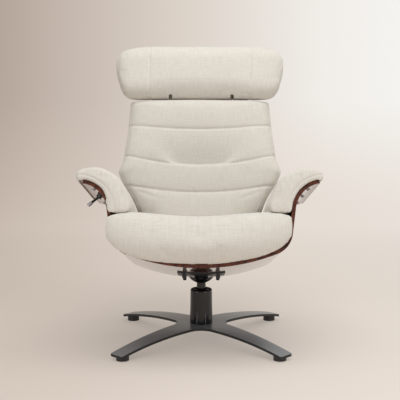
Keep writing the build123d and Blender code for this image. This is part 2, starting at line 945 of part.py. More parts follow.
with BuildPart() as seat_runners:
    with BuildSketch(slope_section(runner_rear)):
        with Locations((-rail_x, slot_bottom + body_gap), (rail_x, slot_bottom + body_gap)):
            Rectangle(
                2 * (slot_half_width - body_gap),
                slot_top - slot_bottom - 2 * body_gap,
                align=(Align.CENTER, Align.MIN),
            )
            Rectangle(
                rail_mouth - 2 * body_gap,
                frame_bottom - slot_bottom - body_gap,
                align=(Align.CENTER, Align.MIN),
            )
    extrude(amount=runner_rear - runner_front)
save(seat_runners, "seat_runners")

# Seat frame and slotted brackets

bracket_inner_x = frame_half_width
slot_centre_w = pin_w - push_rise / 2
bracket_ys = [bracket_front + bracket_edge, (bracket_front + frame_rear) / 2, frame_rear - bracket_edge]

with BuildPart() as bracket_screws:
    for side in (-1, 1):
        for y in bracket_ys:
            outer_x = bracket_inner_x + bracket_thickness
            place = cross_plane(-side, -outer_x, y, frame_bottom + frame_thickness / 2)
            head_height = wood_screw_head_height - body_gap
            add(screw(place, wood_screw_radius, bracket_screw_length, wood_screw_head_radius, head_height))
save(bracket_screws, "bracket_screws")

with BuildPart() as slotted_brackets:
    for side in (-1, 1):
        with BuildSketch(slope_side(side * bracket_inner_x)):
            with BuildLine():
                Polyline(
                    (bracket_front, frame_bottom),
                    (frame_rear, frame_bottom),
                    (pin_y + bracket_edge, slot_centre_w - bracket_edge),
                    (pin_y + bracket_edge, slot_centre_w + bracket_edge),
                    (pin_y - bracket_edge, slot_centre_w + bracket_edge),
                    (frame_rear + cushion_gap, frame_top),
                    (bracket_front, frame_top),
                    close=True,
                )
            make_face()
            with Locations((pin_y, slot_centre_w)):
                SlotCenterToCenter(
                    push_rise + 2 * pin_clearance,
                    2 * (pin_radius + pin_clearance),
                    rotation=90,
                    mode=Mode.SUBTRACT,
                )
        extrude(amount=side * bracket_thickness)
    add(bracket_screws.part, mode=Mode.SUBTRACT)
save(slotted_brackets, "slotted_brackets")

with BuildPart() as seat_frame:
    with BuildSketch(slope.offset(frame_bottom)):
        with Locations((0, (frame_front + frame_rear) / 2)):
            RectangleRounded(2 * frame_half_width, frame_rear - frame_front, frame_outer_corner)
        with Locations((0, (frame_front + frame_border_front + frame_rear - frame_border_rear) / 2)):
            RectangleRounded(
                2 * (frame_half_width - frame_border_side),
                frame_rear - frame_front - frame_border_front - frame_border_rear,
                frame_inner_corner,
                mode=Mode.SUBTRACT,
            )
    extrude(amount=frame_thickness)
    add(bracket_screws.part, mode=Mode.SUBTRACT)
save(seat_frame, "seat_frame")

strap_field = frame_rear - frame_border_rear - (frame_front + frame_border_front)
strap_pitch = strap_field / seat_strap_count
with BuildPart() as seat_webbing:
    with BuildSketch(slope.offset(frame_top)):
        for step in range(seat_strap_count):
            with Locations((0, frame_front + frame_border_front + (step + 0.5) * strap_pitch)):
                Rectangle(2 * frame_half_width - frame_border_side, strap_width)
    extrude(amount=strap_thickness)
save(seat_webbing, "seat_webbing")

# Gas spring

with BuildPart() as gas_rod:
    with BuildSketch(slope_section(rod_plate_front + rod_plate_thickness)):
        with Locations((0, cylinder_axis_w)):
            Circle(gas_rod_radius)
    extrude(amount=rod_plate_front + rod_plate_thickness - cylinder_rear + piston_inset)
    with BuildSketch(slope_section(cylinder_rear - piston_inset + piston_length)):
        with Locations((0, cylinder_axis_w)):
            Circle(cylinder_radius - cylinder_wall - piston_clearance)
    extrude(amount=piston_length)
save(gas_rod, "gas_rod")

with BuildPart() as gas_cylinder:
    with BuildSketch(slope_section(cylinder_rear)):
        with Locations((0, cylinder_axis_w)):
            Circle(cylinder_radius)
    extrude(amount=cylinder_rear - cylinder_front)
    with BuildSketch(slope_section(cylinder_rear - cylinder_end)):
        with Locations((0, cylinder_axis_w)):
            Circle(cylinder_radius - cylinder_wall)
    extrude(amount=cylinder_rear - cylinder_front - 2 * cylinder_end, mode=Mode.SUBTRACT)
    with BuildSketch(slope_section(cylinder_rear)):
        with Locations((0, cylinder_axis_w)):
            Circle(gas_rod_radius + stem_clearance)
    extrude(amount=2 * cylinder_end, mode=Mode.SUBTRACT)
save(gas_cylinder, "gas_cylinder")

with BuildPart() as gas_saddles:
    for end in (cylinder_rear - cylinder_end, cylinder_front + cylinder_end + saddle_thickness):
        with BuildSketch(slope_section(end)):
            Rectangle(saddle_width, cylinder_axis_w, align=(Align.CENTER, Align.MIN))
        extrude(amount=saddle_thickness)
    add(shell_inside.part, mode=Mode.INTERSECT)
    with BuildSketch(slope_section(cylinder_rear)):
        with Locations((0, cylinder_axis_w)):
            Circle(cylinder_radius)
    extrude(amount=cylinder_rear - cylinder_front, mode=Mode.SUBTRACT)
save(gas_saddles, "gas_saddles")

with BuildPart() as rod_plate:
    with BuildSketch(slope_section(rod_plate_front + rod_plate_thickness)):
        with Locations((0, frame_bottom)):
            Rectangle(
                2 * rod_plate_half_width,
                frame_bottom - cylinder_axis_w + cylinder_radius,
                align=(Align.CENTER, Align.MAX),
            )
    extrude(amount=rod_plate_thickness)
    add(gas_rod.part, mode=Mode.SUBTRACT)
save(rod_plate, "rod_plate")

# Back frame and its hinge plates

with BuildPart() as back_frame:
    with BuildLine(back.offset(tube_n)) as tube_path:
        FilletPolyline(
            (tube_low_half_width, crossbar_u),
            (tube_low_half_width, tube_waist_u),
            (tube_shoulder_half_width, tube_shoulder_u),
            (tube_top_half_width, tube_top_u),
            (-tube_top_half_width, tube_top_u),
            (-tube_shoulder_half_width, tube_shoulder_u),
            (-tube_low_half_width, tube_waist_u),
            (-tube_low_half_width, crossbar_u),
            radius=tube_bend_radius,
        )
    with BuildSketch(Plane(origin=tube_path.line @ 0, x_dir=(1, 0, 0), z_dir=tube_path.line % 0)):
        Circle(tube_radius)
    sweep(path=tube_path.line)
    with BuildSketch(back_side(0)):
        with Locations((tube_n, crossbar_u)):
            Circle(crossbar_radius)
    extrude(amount=hinge_plate_inner_x, both=True)
save(back_frame, "back_frame")

with BuildPart() as pivot_bushes:
    for side in (-1, 1):
        with BuildSketch(cross_plane(side, hinge_plate_inner_x, pivot_y, pivot_w)):
            Circle(bush_outer_radius)
            Circle(pin_radius + stem_clearance, mode=Mode.SUBTRACT)
        extrude(amount=hinge_plate_thickness)
save(pivot_bushes, "pivot_bushes")

with BuildPart() as slide_pins:
    for side in (-1, 1):
        with BuildSketch(cross_plane(side, bracket_inner_x - body_gap, pin_y, pin_w)):
            Circle(pin_radius)
        extrude(amount=hinge_plate_outer_x - bracket_inner_x + body_gap)
save(slide_pins, "slide_pins")

with BuildPart() as hinge_plates:
    for side in (-1, 1):
        with BuildSketch(slope_side(side * hinge_plate_inner_x)):
            with Locations((pivot_y, pivot_w)):
                Circle(hinge_plate_half_width)
            with Locations((pin_y, pin_w)):
                Circle(bracket_edge)
            make_hull()
            with Locations((pivot_y, pivot_w)):
                Circle(bush_outer_radius, mode=Mode.SUBTRACT)
            with Locations((pin_y, pin_w)):
                Circle(pin_radius, mode=Mode.SUBTRACT)
        extrude(amount=side * hinge_plate_thickness)
save(hinge_plates, "hinge_plates")

tube_table = [
    (crossbar_u, tube_low_half_width),
    (tube_waist_u, tube_low_half_width),
    (tube_shoulder_u, tube_shoulder_half_width),
    (tube_top_u, tube_top_half_width),
]
strap_n = tube_n + tube_radius
with BuildPart() as back_webbing:
    with BuildSketch(back.offset(strap_n)):
        for step in range(back_strap_count):
            u = back_strap_first_u + step * back_strap_pitch
            with Locations((0, u)):
                Rectangle(2 * interpolate(tube_table, u - strap_width / 2), strap_width)
    extrude(amount=strap_thickness)
save(back_webbing, "back_webbing")

# Seat cushion


def seat_top(x, half_width):
    """Height w of the seat's top at x from its own middle: a saddle that rolls over at the half width."""
    roll = (1 - (abs(x) / half_width) ** seat_squareness) ** (1 / seat_squareness)
    saddle = seat_crown + seat_saddle * math.sin(math.pi / 2 * min(1, abs(x) / seat_saddle_half_width)) ** 2
    return seat_mid + (saddle - seat_mid) * roll


bulb_face = shell_front - bulb_gap
seat_stations = []
for step in range(seat_station_count):
    turn = math.pi * (step / (seat_station_count - 1) - 0.5)
    seat_stations.append(seat_end_share * math.sin(turn))

# The bulb: at each x an arc from its top through its nose to its foot
with BuildPart() as bulb:
    for part_way in seat_stations:
        share = abs(part_way)
        x = part_way * bulb_half_width
        high = seat_top(x, bulb_half_width) - bulb_drop
        low = seat_mid - (seat_mid - bulb_low) * (1 - share**bulb_low_squareness) ** bulb_low_power
        nose = bulb_face - bulb_depth * (1 - share**bulb_side_squareness) ** bulb_side_power
        with BuildSketch(slope_side(x + upholstery_shift)):
            with BuildLine():
                swell = ThreePointArc((bulb_face, high), (nose, (high + low) / 2), (bulb_face, low))
                Line(swell @ 1, swell @ 0)
            make_face()
    loft(ruled=True)

with BuildPart() as seat_cushion:
    for part_way in seat_stations:
        x = part_way * seat_half_width
        high = seat_top(x, seat_half_width)
        low = shell_floor(abs(x) + abs(upholstery_shift)) + cushion_clearance
        flat = max(seat_bottom, low + strap_thickness)
        with BuildSketch(slope_side(x + upholstery_shift)):
            with BuildLine():
                crown = Line((seat_rear, high), (bulb_face + seat_round, high))
                middle = (bulb_face + seat_round / 2, high - bulb_drop / 4)
                brow = ThreePointArc(crown @ 1, middle, (bulb_face, high - bulb_drop - bulb_gap))
                Polyline(
                    brow @ 1,
                    (bulb_face - bulb_root, high - bulb_drop - bulb_root_round),
                    (bulb_face - bulb_root, low + bulb_root_round),
                    (bulb_face, low),
                    (bulb_face + bulb_overlap, low),
                    (bulb_face + bulb_overlap, flat),
                    (seat_rear, flat),
                    crown @ 0,
                )
            make_face()
    loft(ruled=True)
    # Flat where it lies on the webbing
    with BuildSketch(slope):
        with Locations((0, bulb_face + bulb_overlap)):
            Rectangle(3 * seat_half_width, 2 * seat_half_width, align=(Align.CENTER, Align.MIN))
    extrude(amount=seat_bottom, mode=Mode.SUBTRACT)
    add(bulb.part)
save(seat_cushion, "seat_cushion")

# Headrest arms, pins and leaves

headrest_pivot = Vector(headrest_axis_n, headrest_axis_u)
arm_foot = Vector(tube_n + arm_foot_lead, tube_top_u)
arm_run = (arm_foot - headrest_pivot).normalized()
leaf_x = fitting_x + fitting_thickness + body_gap


def both_fittings(sketch_of, inner_x, thickness):
    """The same plate on the left and on the right, from inner_x outwards."""
    with BuildPart() as pair:
        for side in (-1, 1):
            with BuildSketch(back_side(side * (inner_x + thickness / 2))):
                add(sketch_of)
            extrude(amount=thickness / 2, both=True)
    return pair.part


with BuildSketch() as pin_outline:
    with Locations(headrest_pivot):
        Circle(headrest_pin_radius)

with BuildSketch() as arm_outline:
    with Locations(headrest_pivot, arm_foot):
        Circle(fitting_half_width)
    make_hull()
    with Locations(headrest_pivot):
        Circle(headrest_pin_radius, mode=Mode.SUBTRACT)

with BuildSketch() as leaf_outline:
    with Locations(headrest_pivot, (headrest_axis_n, leaf_top_u - fitting_half_width)):
        Circle(fitting_half_width)
    make_hull()
    with Locations(headrest_pivot):
        Circle(headrest_pin_radius + stem_clearance, mode=Mode.SUBTRACT)

with BuildPart() as headrest_arms:
    add(both_fittings(arm_outline.sketch, fitting_x - fitting_thickness / 2, fitting_thickness))
    add(back_frame.part, mode=Mode.SUBTRACT)
save(headrest_arms, "headrest_arms")

with BuildPart() as headrest_leaves:
    add(both_fittings(leaf_outline.sketch, leaf_x - fitting_thickness / 2, fitting_thickness))
save(headrest_leaves, "headrest_leaves")

pin_overhang = 2
with BuildPart() as headrest_pins:
    pin_start = fitting_x - fitting_thickness / 2 - pin_overhang
    pin_length = leaf_x + fitting_thickness / 2 + pin_overhang - pin_start
    add(both_fittings(pin_outline.sketch, pin_start, pin_length))
save(headrest_pins, "headrest_pins")

# Back cushion and its rear cover

back_low = back_outline[0][0]
back_high = back_outline[-1][0]


def back_fullness(u):
    """Share of the full depth at height u: a quarter round at both ends."""
    reach = min(u - back_low, back_high - u) + seam_depth
    return math.sqrt(1 - (1 - min(1, reach / back_end_round)) ** 2)


def frame_outline(margin, low_u):
    """Corners of the tube frame's outline, this margin outside its centre line, down to low_u."""
    right = [
        (tube_low_half_width + margin, low_u),
        (tube_low_half_width + margin, tube_waist_u),
        (tube_shoulder_half_width + margin, tube_shoulder_u),
        (tube_top_half_width + margin, tube_top_u + margin),
    ]
    return right + [(-x, u) for x, u in reversed(right)]


end_steps = (back_end_round / 3, back_end_round)
back_stations = sorted(
    [u for u, half_width in back_outline]
    + [back_low + step for step in end_steps]
    + [back_high - step for step in end_steps]
)
with BuildPart() as back_cushion:
    for u in back_stations:
        half_width = interpolate(back_outline, u) - back_side_draw * (1 - back_fullness(u))
        front = back_root_n + (back_front_n - back_root_n) * back_fullness(u)
        edge = back_root_n + (back_edge_n - back_root_n) * back_fullness(u)
        with BuildSketch(back_section(u)):
            with BuildLine():
                middle = upholstery_shift
                rear = Line(
                    (middle - half_width + back_side_draw, back_rear_n),
                    (middle + half_width - back_side_draw, back_rear_n),
                )
                side_n = (back_rear_n + edge) / 2
                drawn = half_width - back_side_draw
                right = ThreePointArc(rear @ 1, (middle + half_width, side_n), (middle + drawn, edge))
                crown = ThreePointArc(right @ 1, (middle, front), (middle - drawn, edge))
                ThreePointArc(crown @ 1, (middle - half_width, side_n), rear @ 0)
            make_face()
    loft()
    # Pocket for the tube frame and its webbing, with openings for the crossbar and the headrest arms
    with BuildSketch(back.offset(back_rear_n)):
        Polygon(*frame_outline(pocket_margin, pocket_low_u), align=None)
        with Locations((0, crossbar_u)):
            Rectangle(2 * seat_half_width, 2 * (crossbar_radius + body_gap))
    extrude(amount=strap_n + strap_thickness - back_rear_n, mode=Mode.SUBTRACT)
    add(headrest_arms.part, mode=Mode.SUBTRACT)
    channel_stand_off = channel_radius - channel_depth
    for middle_u, side_u, reach in back_channels:
        bends = [
            (upholstery_shift - reach, side_u, back_edge_n + channel_stand_off),
            (upholstery_shift, middle_u, back_front_n + channel_stand_off),
            (upholstery_shift + reach, side_u, back_edge_n + channel_stand_off),
        ]
        with BuildLine() as channel:
            ThreePointArc(*[back.from_local_coords(Vector(*bend)) for bend in bends])
        with BuildSketch(Plane(origin=channel.line @ 0, z_dir=channel.line % 0)):
            Circle(channel_radius)
        sweep(path=channel.line, mode=Mode.SUBTRACT)
save(back_cushion, "back_cushion")

cover_rows = [(back_low - cover_drop, back_outline[0][1])] + back_outline
with BuildPart() as back_cover:
    with BuildSketch(back.offset(back_rear_n - cover_thickness)):
        right = [(upholstery_shift + half - cover_inset, u) for u, half in cover_rows]
        left = [(upholstery_shift - half + cover_inset, u) for u, half in reversed(cover_rows)]
        Polygon(*right, *left, align=None)
    extrude(amount=cover_thickness)
    fillet(back_cover.faces().sort_by(Axis(back.origin, back.z_dir))[0].edges(), cover_round)
save(back_cover, "back_cover")

# Headrest

with BuildPart() as headrest_board:
    with BuildSketch(back.offset(headrest_axis_n - board_thickness / 2)):
        with Locations((0, (board_bottom_u + board_top_u) / 2)):
            RectangleRounded(2 * board_half_width, board_top_u - board_bottom_u, board_corner)
    extrude(amount=board_thickness)
    add(headrest_leaves.part, mode=Mode.SUBTRACT)
save(headrest_board, "headrest_board")


def headrest_section(x, low, high, round_radius):
    """Rounded upright section of the headrest at x: two lines and two half circles."""
    with BuildSketch(back_side(x + upholstery_shift)) as section:
        with Locations((headrest_axis_n, (low + high) / 2)):
            SlotOverall(high - low, 2 * round_radius, rotation=90)
    return section.sketch


def headrest_shape(x):
    """Lower end, upper end and half thickness of the headrest at x from its middle."""
    share = abs(x) / headrest_half_width
    roll = (1 - share**headrest_top_squareness) ** headrest_top_power
    foot = (1 - share**headrest_foot_squareness) ** headrest_foot_power
    low = headrest_wide_u - (headrest_wide_u - headrest_low_u) * foot
    high = headrest_wide_u + (headrest_top_u - headrest_wide_u) * roll
    return low, high, min(headrest_round * roll, headrest_end_fullness * (high - low))


def headrest_seam(x):
    """Band around the headrest at x: a wider section less a narrower one, as wide as the seam."""
    low, high, thick = headrest_shape(x)
    with BuildPart() as seam:
        wide = headrest_section(x, low - seam_width, high + seam_width, thick + seam_width)
        core = headrest_section(x, low + seam_depth, high - seam_depth, thick - seam_depth)
        extrude(wide, amount=seam_width / 2, both=True)
        extrude(core, amount=seam_width, both=True, mode=Mode.SUBTRACT)
    return seam.part


with BuildPart() as headrest_cushion:
    for part_way in headrest_stations + [-share for share in reversed(headrest_stations[:-1])]:
        x = part_way * headrest_half_width
        add(headrest_section(x, *headrest_shape(x)))
    loft()
    for side in (-1, 1):
        add(headrest_seam(side * headrest_seam_x), mode=Mode.SUBTRACT)
    add(headrest_board.part, mode=Mode.SUBTRACT)
    add(headrest_leaves.part, mode=Mode.SUBTRACT)
    # Slots in which the fixed arms stand while the headrest tips forward
    for side in (-1, 1):
        with BuildSketch(back_side(side * (fitting_x + leaf_x + pin_overhang) / 2)):
            with Locations((headrest_axis_n, headrest_axis_u)):
                Circle(swing_half_width)
            for swing in (0, headrest_tilt):
                reach = arm_run.rotate(Axis.Z, swing) * swing_length
                with Locations((headrest_axis_n + reach.X, headrest_axis_u + reach.Y)):
                    Circle(swing_half_width)
            make_hull()
        extrude(amount=headrest_slot_width / 2, both=True, mode=Mode.SUBTRACT)
save(headrest_cushion, "headrest_cushion")

# Arm pads

pad_points = []
for angle, thickness in pad_outline:
    reach = curl_radius + shell_thickness + thickness
    across = math.cos(math.radians(angle))
    up = math.sin(math.radians(angle))
    pad_points.append((curl_centre.X + reach * across, curl_centre.Y + reach * up))

for name, side in {"arm_pad_left": -1, "arm_pad_right": 1}.items():
    with BuildPart() as arm_pad:
        with BuildSketch(slope_section(pad_rear)):
            with BuildLine():
                soft = Spline(*[(upholstery_shift + side * x, w) for x, w in pad_points])
                Polyline(
                    soft @ 1,
                    (side * (tip_high.X - pad_tuck), tip_high.Y - pad_root_drop),
                    (side * pad_root_x, pad_bottom),
                    soft @ 0,
                )
            make_face()
        extrude(amount=pad_rear - shell_front + pad_front_overhang)
        add(shell_inside.part, mode=Mode.INTERSECT)
        with BuildSketch(slope_side(0)):
            with Locations(((notch_front + notch_rear) / 2, (notch_bottom + notch_top) / 2)):
                RectangleRounded(notch_rear - notch_front, notch_top - notch_bottom, pad_round)
        extrude(amount=side * beyond, mode=Mode.SUBTRACT)
        for end in (0, -1):
            face = arm_pad.faces().sort_by(slope_rearward)[end]
            fillet(face.edges().sort_by(slope_up)[-1], pad_round)
        add(pad_screws.part, mode=Mode.SUBTRACT)
    save(arm_pad, name)

# Wood shell with its screw holes

with BuildPart() as wood_shell:
    add(shell_blank.part)
    fillet(wood_shell.faces().sort_by(slope_rearward)[0].edges(), shell_edge_radius)
    for fixing in (plate_bolts, pad_screws, pivot_block_screws, bearer_screws, lever_screws):
        add(fixing.part, mode=Mode.SUBTRACT)
save(wood_shell, "wood_shell")
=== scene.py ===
import bmesh
import bpy
import math
import numpy as np
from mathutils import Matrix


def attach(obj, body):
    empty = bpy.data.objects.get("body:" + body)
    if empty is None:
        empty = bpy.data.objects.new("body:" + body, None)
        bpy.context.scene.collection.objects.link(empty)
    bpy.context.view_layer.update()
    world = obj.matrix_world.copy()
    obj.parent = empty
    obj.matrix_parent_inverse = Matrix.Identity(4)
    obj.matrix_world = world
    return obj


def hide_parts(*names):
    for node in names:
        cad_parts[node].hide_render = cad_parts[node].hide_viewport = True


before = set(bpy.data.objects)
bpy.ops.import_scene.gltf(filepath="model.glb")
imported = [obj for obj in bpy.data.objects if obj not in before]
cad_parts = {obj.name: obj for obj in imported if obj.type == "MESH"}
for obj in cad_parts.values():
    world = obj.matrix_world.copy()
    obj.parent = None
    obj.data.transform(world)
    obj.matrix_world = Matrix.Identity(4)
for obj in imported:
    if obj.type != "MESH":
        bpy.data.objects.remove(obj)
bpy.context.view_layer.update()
scene = bpy.context.scene
print("frame loaded with", len(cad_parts), "nodes")

# The chair has two working frames, in metres: the slope of the seat (x, y to the rear, w up)
# and the plane of the back (x, u up along it, n to the front)
chair = {
    "slopeAngle": math.radians(15),
    "slopeHeight": 0.226,
    "backAngle": math.radians(20),
    "pivotY": 0.080,
    "pivotW": 0.180,
    "shift": -0.005,  # the upholstery lies a little to the sitter's right
}
slopeCos, slopeSin = math.cos(chair["slopeAngle"]), math.sin(chair["slopeAngle"])
backCos, backSin = math.cos(chair["backAngle"]), math.sin(chair["backAngle"])


def slopeToWorld(x, y, w):
    # world = (x, y cos a + w sin a, h - y sin a + w cos a), a being the seat's slope
    x, y, w = np.broadcast_arrays(x, y, w)
    height = chair["slopeHeight"] - y * slopeSin + w * slopeCos
    return np.stack([x, y * slopeCos + w * slopeSin, height], axis=-1)


def worldToSlope(points):
    # the inverse turn: y = Y cos a - (Z - h) sin a and w = Y sin a + (Z - h) cos a
    y, z = points[..., 1], points[..., 2] - chair["slopeHeight"]
    return np.stack([points[..., 0], y * slopeCos - z * slopeSin, y * slopeSin + z * slopeCos], axis=-1)


pivot = slopeToWorld(0.0, chair["pivotY"], chair["pivotW"])


def backToWorld(x, u, n):
    # world = pivot + u (0, sin b, cos b) + n (0, -cos b, sin b), b being the back's lean
    x, u, n = np.broadcast_arrays(x, u, n)
    y, z = pivot[1] + u * backSin - n * backCos, pivot[2] + u * backCos + n * backSin
    return np.stack([x, y, z], axis=-1)


def worldToBack(points):
    # the inverse turn about the pivot
    y, z = points[..., 1] - pivot[1], points[..., 2] - pivot[2]
    return np.stack([points[..., 0], y * backSin + z * backCos, z * backSin - y * backCos], axis=-1)


# Half section of the wood shell: an arc, a corner, a straight wall and a curl, as angles of its run
shell = {
    "bottomRadius": 0.650,
    "bottomHalfWidth": 0.235,
    "cornerRadius": 0.075,
    "wallAngle": math.radians(82.5),
    "wallLength": 0.084,
    "curlRadius": 0.088,
    "curlEnd": math.radians(8),
    "thickness": 0.012,
}
bottomAngle = math.asin(shell["bottomHalfWidth"] / shell["bottomRadius"])


def outward(angle):
    # unit vector out of the shell where its section runs at this angle: (sin, -cos)
    return np.array([math.sin(angle), -math.cos(angle)])


cornerReach = shell["bottomRadius"] - shell["cornerRadius"]
cornerCentre = np.array([0, shell["bottomRadius"]]) + outward(bottomAngle) * cornerReach
cornerInner = shell["cornerRadius"] - shell["thickness"]
wallFoot = cornerCentre + outward(shell["wallAngle"]) * shell["cornerRadius"]
wallRun = np.array([math.cos(shell["wallAngle"]), math.sin(shell["wallAngle"])])
curlCentre = wallFoot + wallRun * shell["wallLength"] + outward(shell["wallAngle"]) * shell["curlRadius"]


def shellFloor(x):
    # height of the shell's inner surface: the big arc in the middle, the corner arc beyond it
    x = np.abs(x)
    bottomInner = shell["bottomRadius"] - shell["thickness"]
    middle = shell["bottomRadius"] - np.sqrt(np.maximum(bottomInner**2 - x**2, 0))
    corner = cornerCentre[1] - np.sqrt(np.maximum(cornerInner**2 - (x - cornerCentre[0]) ** 2, 0))
    return np.where(x < bottomInner * math.sin(bottomAngle), middle, corner)


def wallInside(w):
    # distance of the wall's inner surface from the middle at height w
    foot = wallFoot - outward(shell["wallAngle"]) * shell["thickness"]
    straight = foot[0] + (w - foot[1]) / math.tan(shell["wallAngle"])
    bend = cornerCentre[0] + np.sqrt(np.maximum(cornerInner**2 - (w - cornerCentre[1]) ** 2, 0))
    return np.where(w > foot[1], straight, bend)


def sineSteps(count):
    # values from -1 to 1, closer together towards both ends
    return np.sin(np.linspace(-1, 1, count) * math.pi / 2)


def gridQuads(index, after):
    # one quad for each cell between a row of point numbers and the next
    return np.stack([index[:-1], after[:-1], after[1:], index[1:]], axis=-1).reshape(-1, 4).tolist()


def meshObject(name, points, faces):
    # a new object of these points and faces, linked into the scene
    mesh = bpy.data.meshes.new(name)
    mesh.from_pydata(points.reshape(-1, 3).tolist(), [], faces)
    mesh.validate()
    made = bpy.data.objects.new(name, mesh)
    scene.collection.objects.link(made)
    return made


def closedTube(name, grid, flip=False):
    # row i of the grid is a closed ring; quads join rings i and i + 1, and one polygon closes each end
    rows, columns = grid.shape[:2]
    index = np.arange(rows * columns).reshape(rows, columns)
    faces = gridQuads(index, np.roll(index, -1, axis=1)) + [index[0, ::-1].tolist(), index[-1].tolist()]
    if flip:
        faces = [face[::-1] for face in faces]
    return meshObject(name, grid, faces)


def joinTo(made, other):
    # both meshes become one, and the other object goes
    whole = bmesh.new()
    for part in (made, other):
        whole.from_mesh(part.data)
    whole.to_mesh(made.data)
    whole.free()
    bpy.data.objects.remove(other)


def coordinates(mesh):
    # one row x, y, z for each vertex
    flat = np.empty(len(mesh.vertices) * 3)
    mesh.vertices.foreach_get("co", flat)
    return flat.reshape(-1, 3)


def setCoordinates(mesh, points):
    mesh.vertices.foreach_set("co", np.ascontiguousarray(points, dtype=np.float64).ravel())
    mesh.update()


def applyModifiers(made):
    # the mesh as its modifiers give it takes the place of the old one
    bpy.context.view_layer.update()
    result = bpy.data.meshes.new_from_object(made.evaluated_get(bpy.context.evaluated_depsgraph_get()))
    made.modifiers.clear()
    old, made.data = made.data, result
    bpy.data.meshes.remove(old)


def evenCells(made, size):
    # the piece is made anew with cells of this size, and what overlaps becomes one
    remesh = made.modifiers.new("even", "REMESH")
    remesh.mode = "VOXEL"
    remesh.voxel_size = size
    applyModifiers(made)


def cutAway(made, cutter):
    # the cutter's space is taken out of the piece, and the cutter is removed
    cut = made.modifiers.new("cut", "BOOLEAN")
    cut.operation = "DIFFERENCE"
    cut.solver = "EXACT"
    cut.object = cutter
    applyModifiers(made)
    bpy.data.objects.remove(cutter)


stuffing = {"quality": 4, "mass": 0.3, "stretch": 12, "bending": 0.8, "steps": 20}


def swell(made, pressure, cap, pinned):
    # cloth blown up from inside with gravity off; a way of d is shortened to cap tanh(d / cap)
    rest = coordinates(made.data)
    group = made.vertex_groups.new(name="held")
    group.add(np.flatnonzero(pinned).tolist(), 1.0, "REPLACE")
    cloth = made.modifiers.new("cloth", "CLOTH")
    cloth.settings.quality = stuffing["quality"]
    cloth.settings.mass = stuffing["mass"]
    cloth.settings.tension_stiffness = cloth.settings.compression_stiffness = stuffing["stretch"]
    cloth.settings.bending_stiffness = stuffing["bending"]
    cloth.settings.vertex_group_mass = group.name
    cloth.settings.use_pressure = True
    cloth.settings.uniform_pressure_force = pressure
    cloth.settings.effector_weights.gravity = 0
    for step in range(1, stuffing["steps"] + 1):
        scene.frame_set(step)
    blown = coordinates(made.evaluated_get(bpy.context.evaluated_depsgraph_get()).data)
    made.modifiers.clear()
    made.vertex_groups.clear()
    scene.frame_set(1)
    move = blown - rest
    length = np.linalg.norm(move, axis=1, keepdims=True)
    setCoordinates(made.data, rest + move * cap * np.tanh(length / cap) / np.maximum(length, 1e-9))


def divide(made):
    # every face becomes four
    finer = made.modifiers.new("finer", "SUBSURF")
    finer.levels = finer.render_levels = 1
    applyModifiers(made)


def relax(made, times):
    # each vertex goes half way to the mean of its neighbours, so many times
    smooth = made.modifiers.new("relax", "SMOOTH")
    smooth.iterations = times
    smooth.factor = 0.5
    applyModifiers(made)


def ripple(points, height):
    # slow unevenness of hand-stuffed foam: the mean of three sines of the place, with waves 11 to
    # 18 cm long
    x, y, z = points[:, 0], points[:, 1], points[:, 2]
    wave = np.sin(31 * x + 17 * z + 1.3) + np.sin(-23 * x + 41 * y + 2.1) + np.sin(47 * z - 29 * y + 0.4)
    return height * wave[:, None] / 3


def normals(mesh):
    # one unit row for each vertex, outwards
    flat = np.empty(len(mesh.vertices) * 3)
    mesh.vertex_normals.foreach_get("vector", flat)
    return flat.reshape(-1, 3)


def groove(distance, width, depth):
    # depth of a seam's valley: depth times exp(-(distance / width) squared)
    return depth * np.exp(-((distance / width) ** 2))


def weaveMap(mesh, along, across):
    # the cloth's own map, in metres: along and across are given for each vertex
    layer = mesh.uv_layers.new(name="weave")
    corners = np.empty(len(mesh.loops), dtype=np.int32)
    mesh.loops.foreach_get("vertex_index", corners)
    layer.data.foreach_set("uv", np.stack([across[corners], along[corners]], axis=-1).ravel())


def finishPiece(made, material, body, slot, *nodes, fill=None):
    made.data.materials.clear()
    made.data.materials.append(material)
    made.data.polygons.foreach_set("use_smooth", np.ones(len(made.data.polygons), dtype=bool))
    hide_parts(*nodes)
    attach(made, body)
    print(made.name, "done with", len(made.data.polygons), "faces")


def addNode(tree, kind, inputs=None, **settings):
    # one shader node; an input is a value or the output of another node
    made = tree.nodes.new(kind)
    for key, value in settings.items():
        setattr(made, key, value)
    for key, value in (inputs or {}).items():
        if isinstance(value, bpy.types.NodeSocket):
            tree.links.new(value, made.inputs[key])
        else:
            made.inputs[key].default_value = value
    return made


def newMaterial(name, **values):
    # a Principled material; the values go to its own sockets
    made = bpy.data.materials.new(name)
    made.use_nodes = True
    shader = made.node_tree.nodes["Principled BSDF"]
    for key, value in values.items():
        shader.inputs[key].default_value = value
    return made, made.node_tree, shader


def noise(tree, vector, scale, detail=2.0):
    inputs = {"Vector": vector, "Scale": scale, "Detail": detail}
    return addNode(tree, "ShaderNodeTexNoise", inputs).outputs["Fac"]


def streaks(tree, vector, scale, detail, rotation=(0, 0, 0)):
    # noise drawn out along the axis with the smallest scale
    placed = addNode(tree, "ShaderNodeMapping", {"Vector": vector, "Scale": scale, "Rotation": rotation})
    return noise(tree, placed.outputs["Vector"], 1.0, detail)


def mapRange(tree, value, source, target=(0.0, 1.0)):
    # the value's way from source to target, held at both ends
    ends = {"From Min": source[0], "From Max": source[1], "To Min": target[0], "To Max": target[1]}
    return addNode(tree, "ShaderNodeMapRange", {"Value": value, **ends}).outputs["Result"]


def mathNode(tree, operation, first, second):
    # both may be a value or the output of another node
    made = addNode(tree, "ShaderNodeMath", operation=operation)
    for socket, value in zip(made.inputs, (first, second)):
        if isinstance(value, bpy.types.NodeSocket):
            tree.links.new(value, socket)
        else:
            socket.default_value = value
    return made.outputs["Value"]


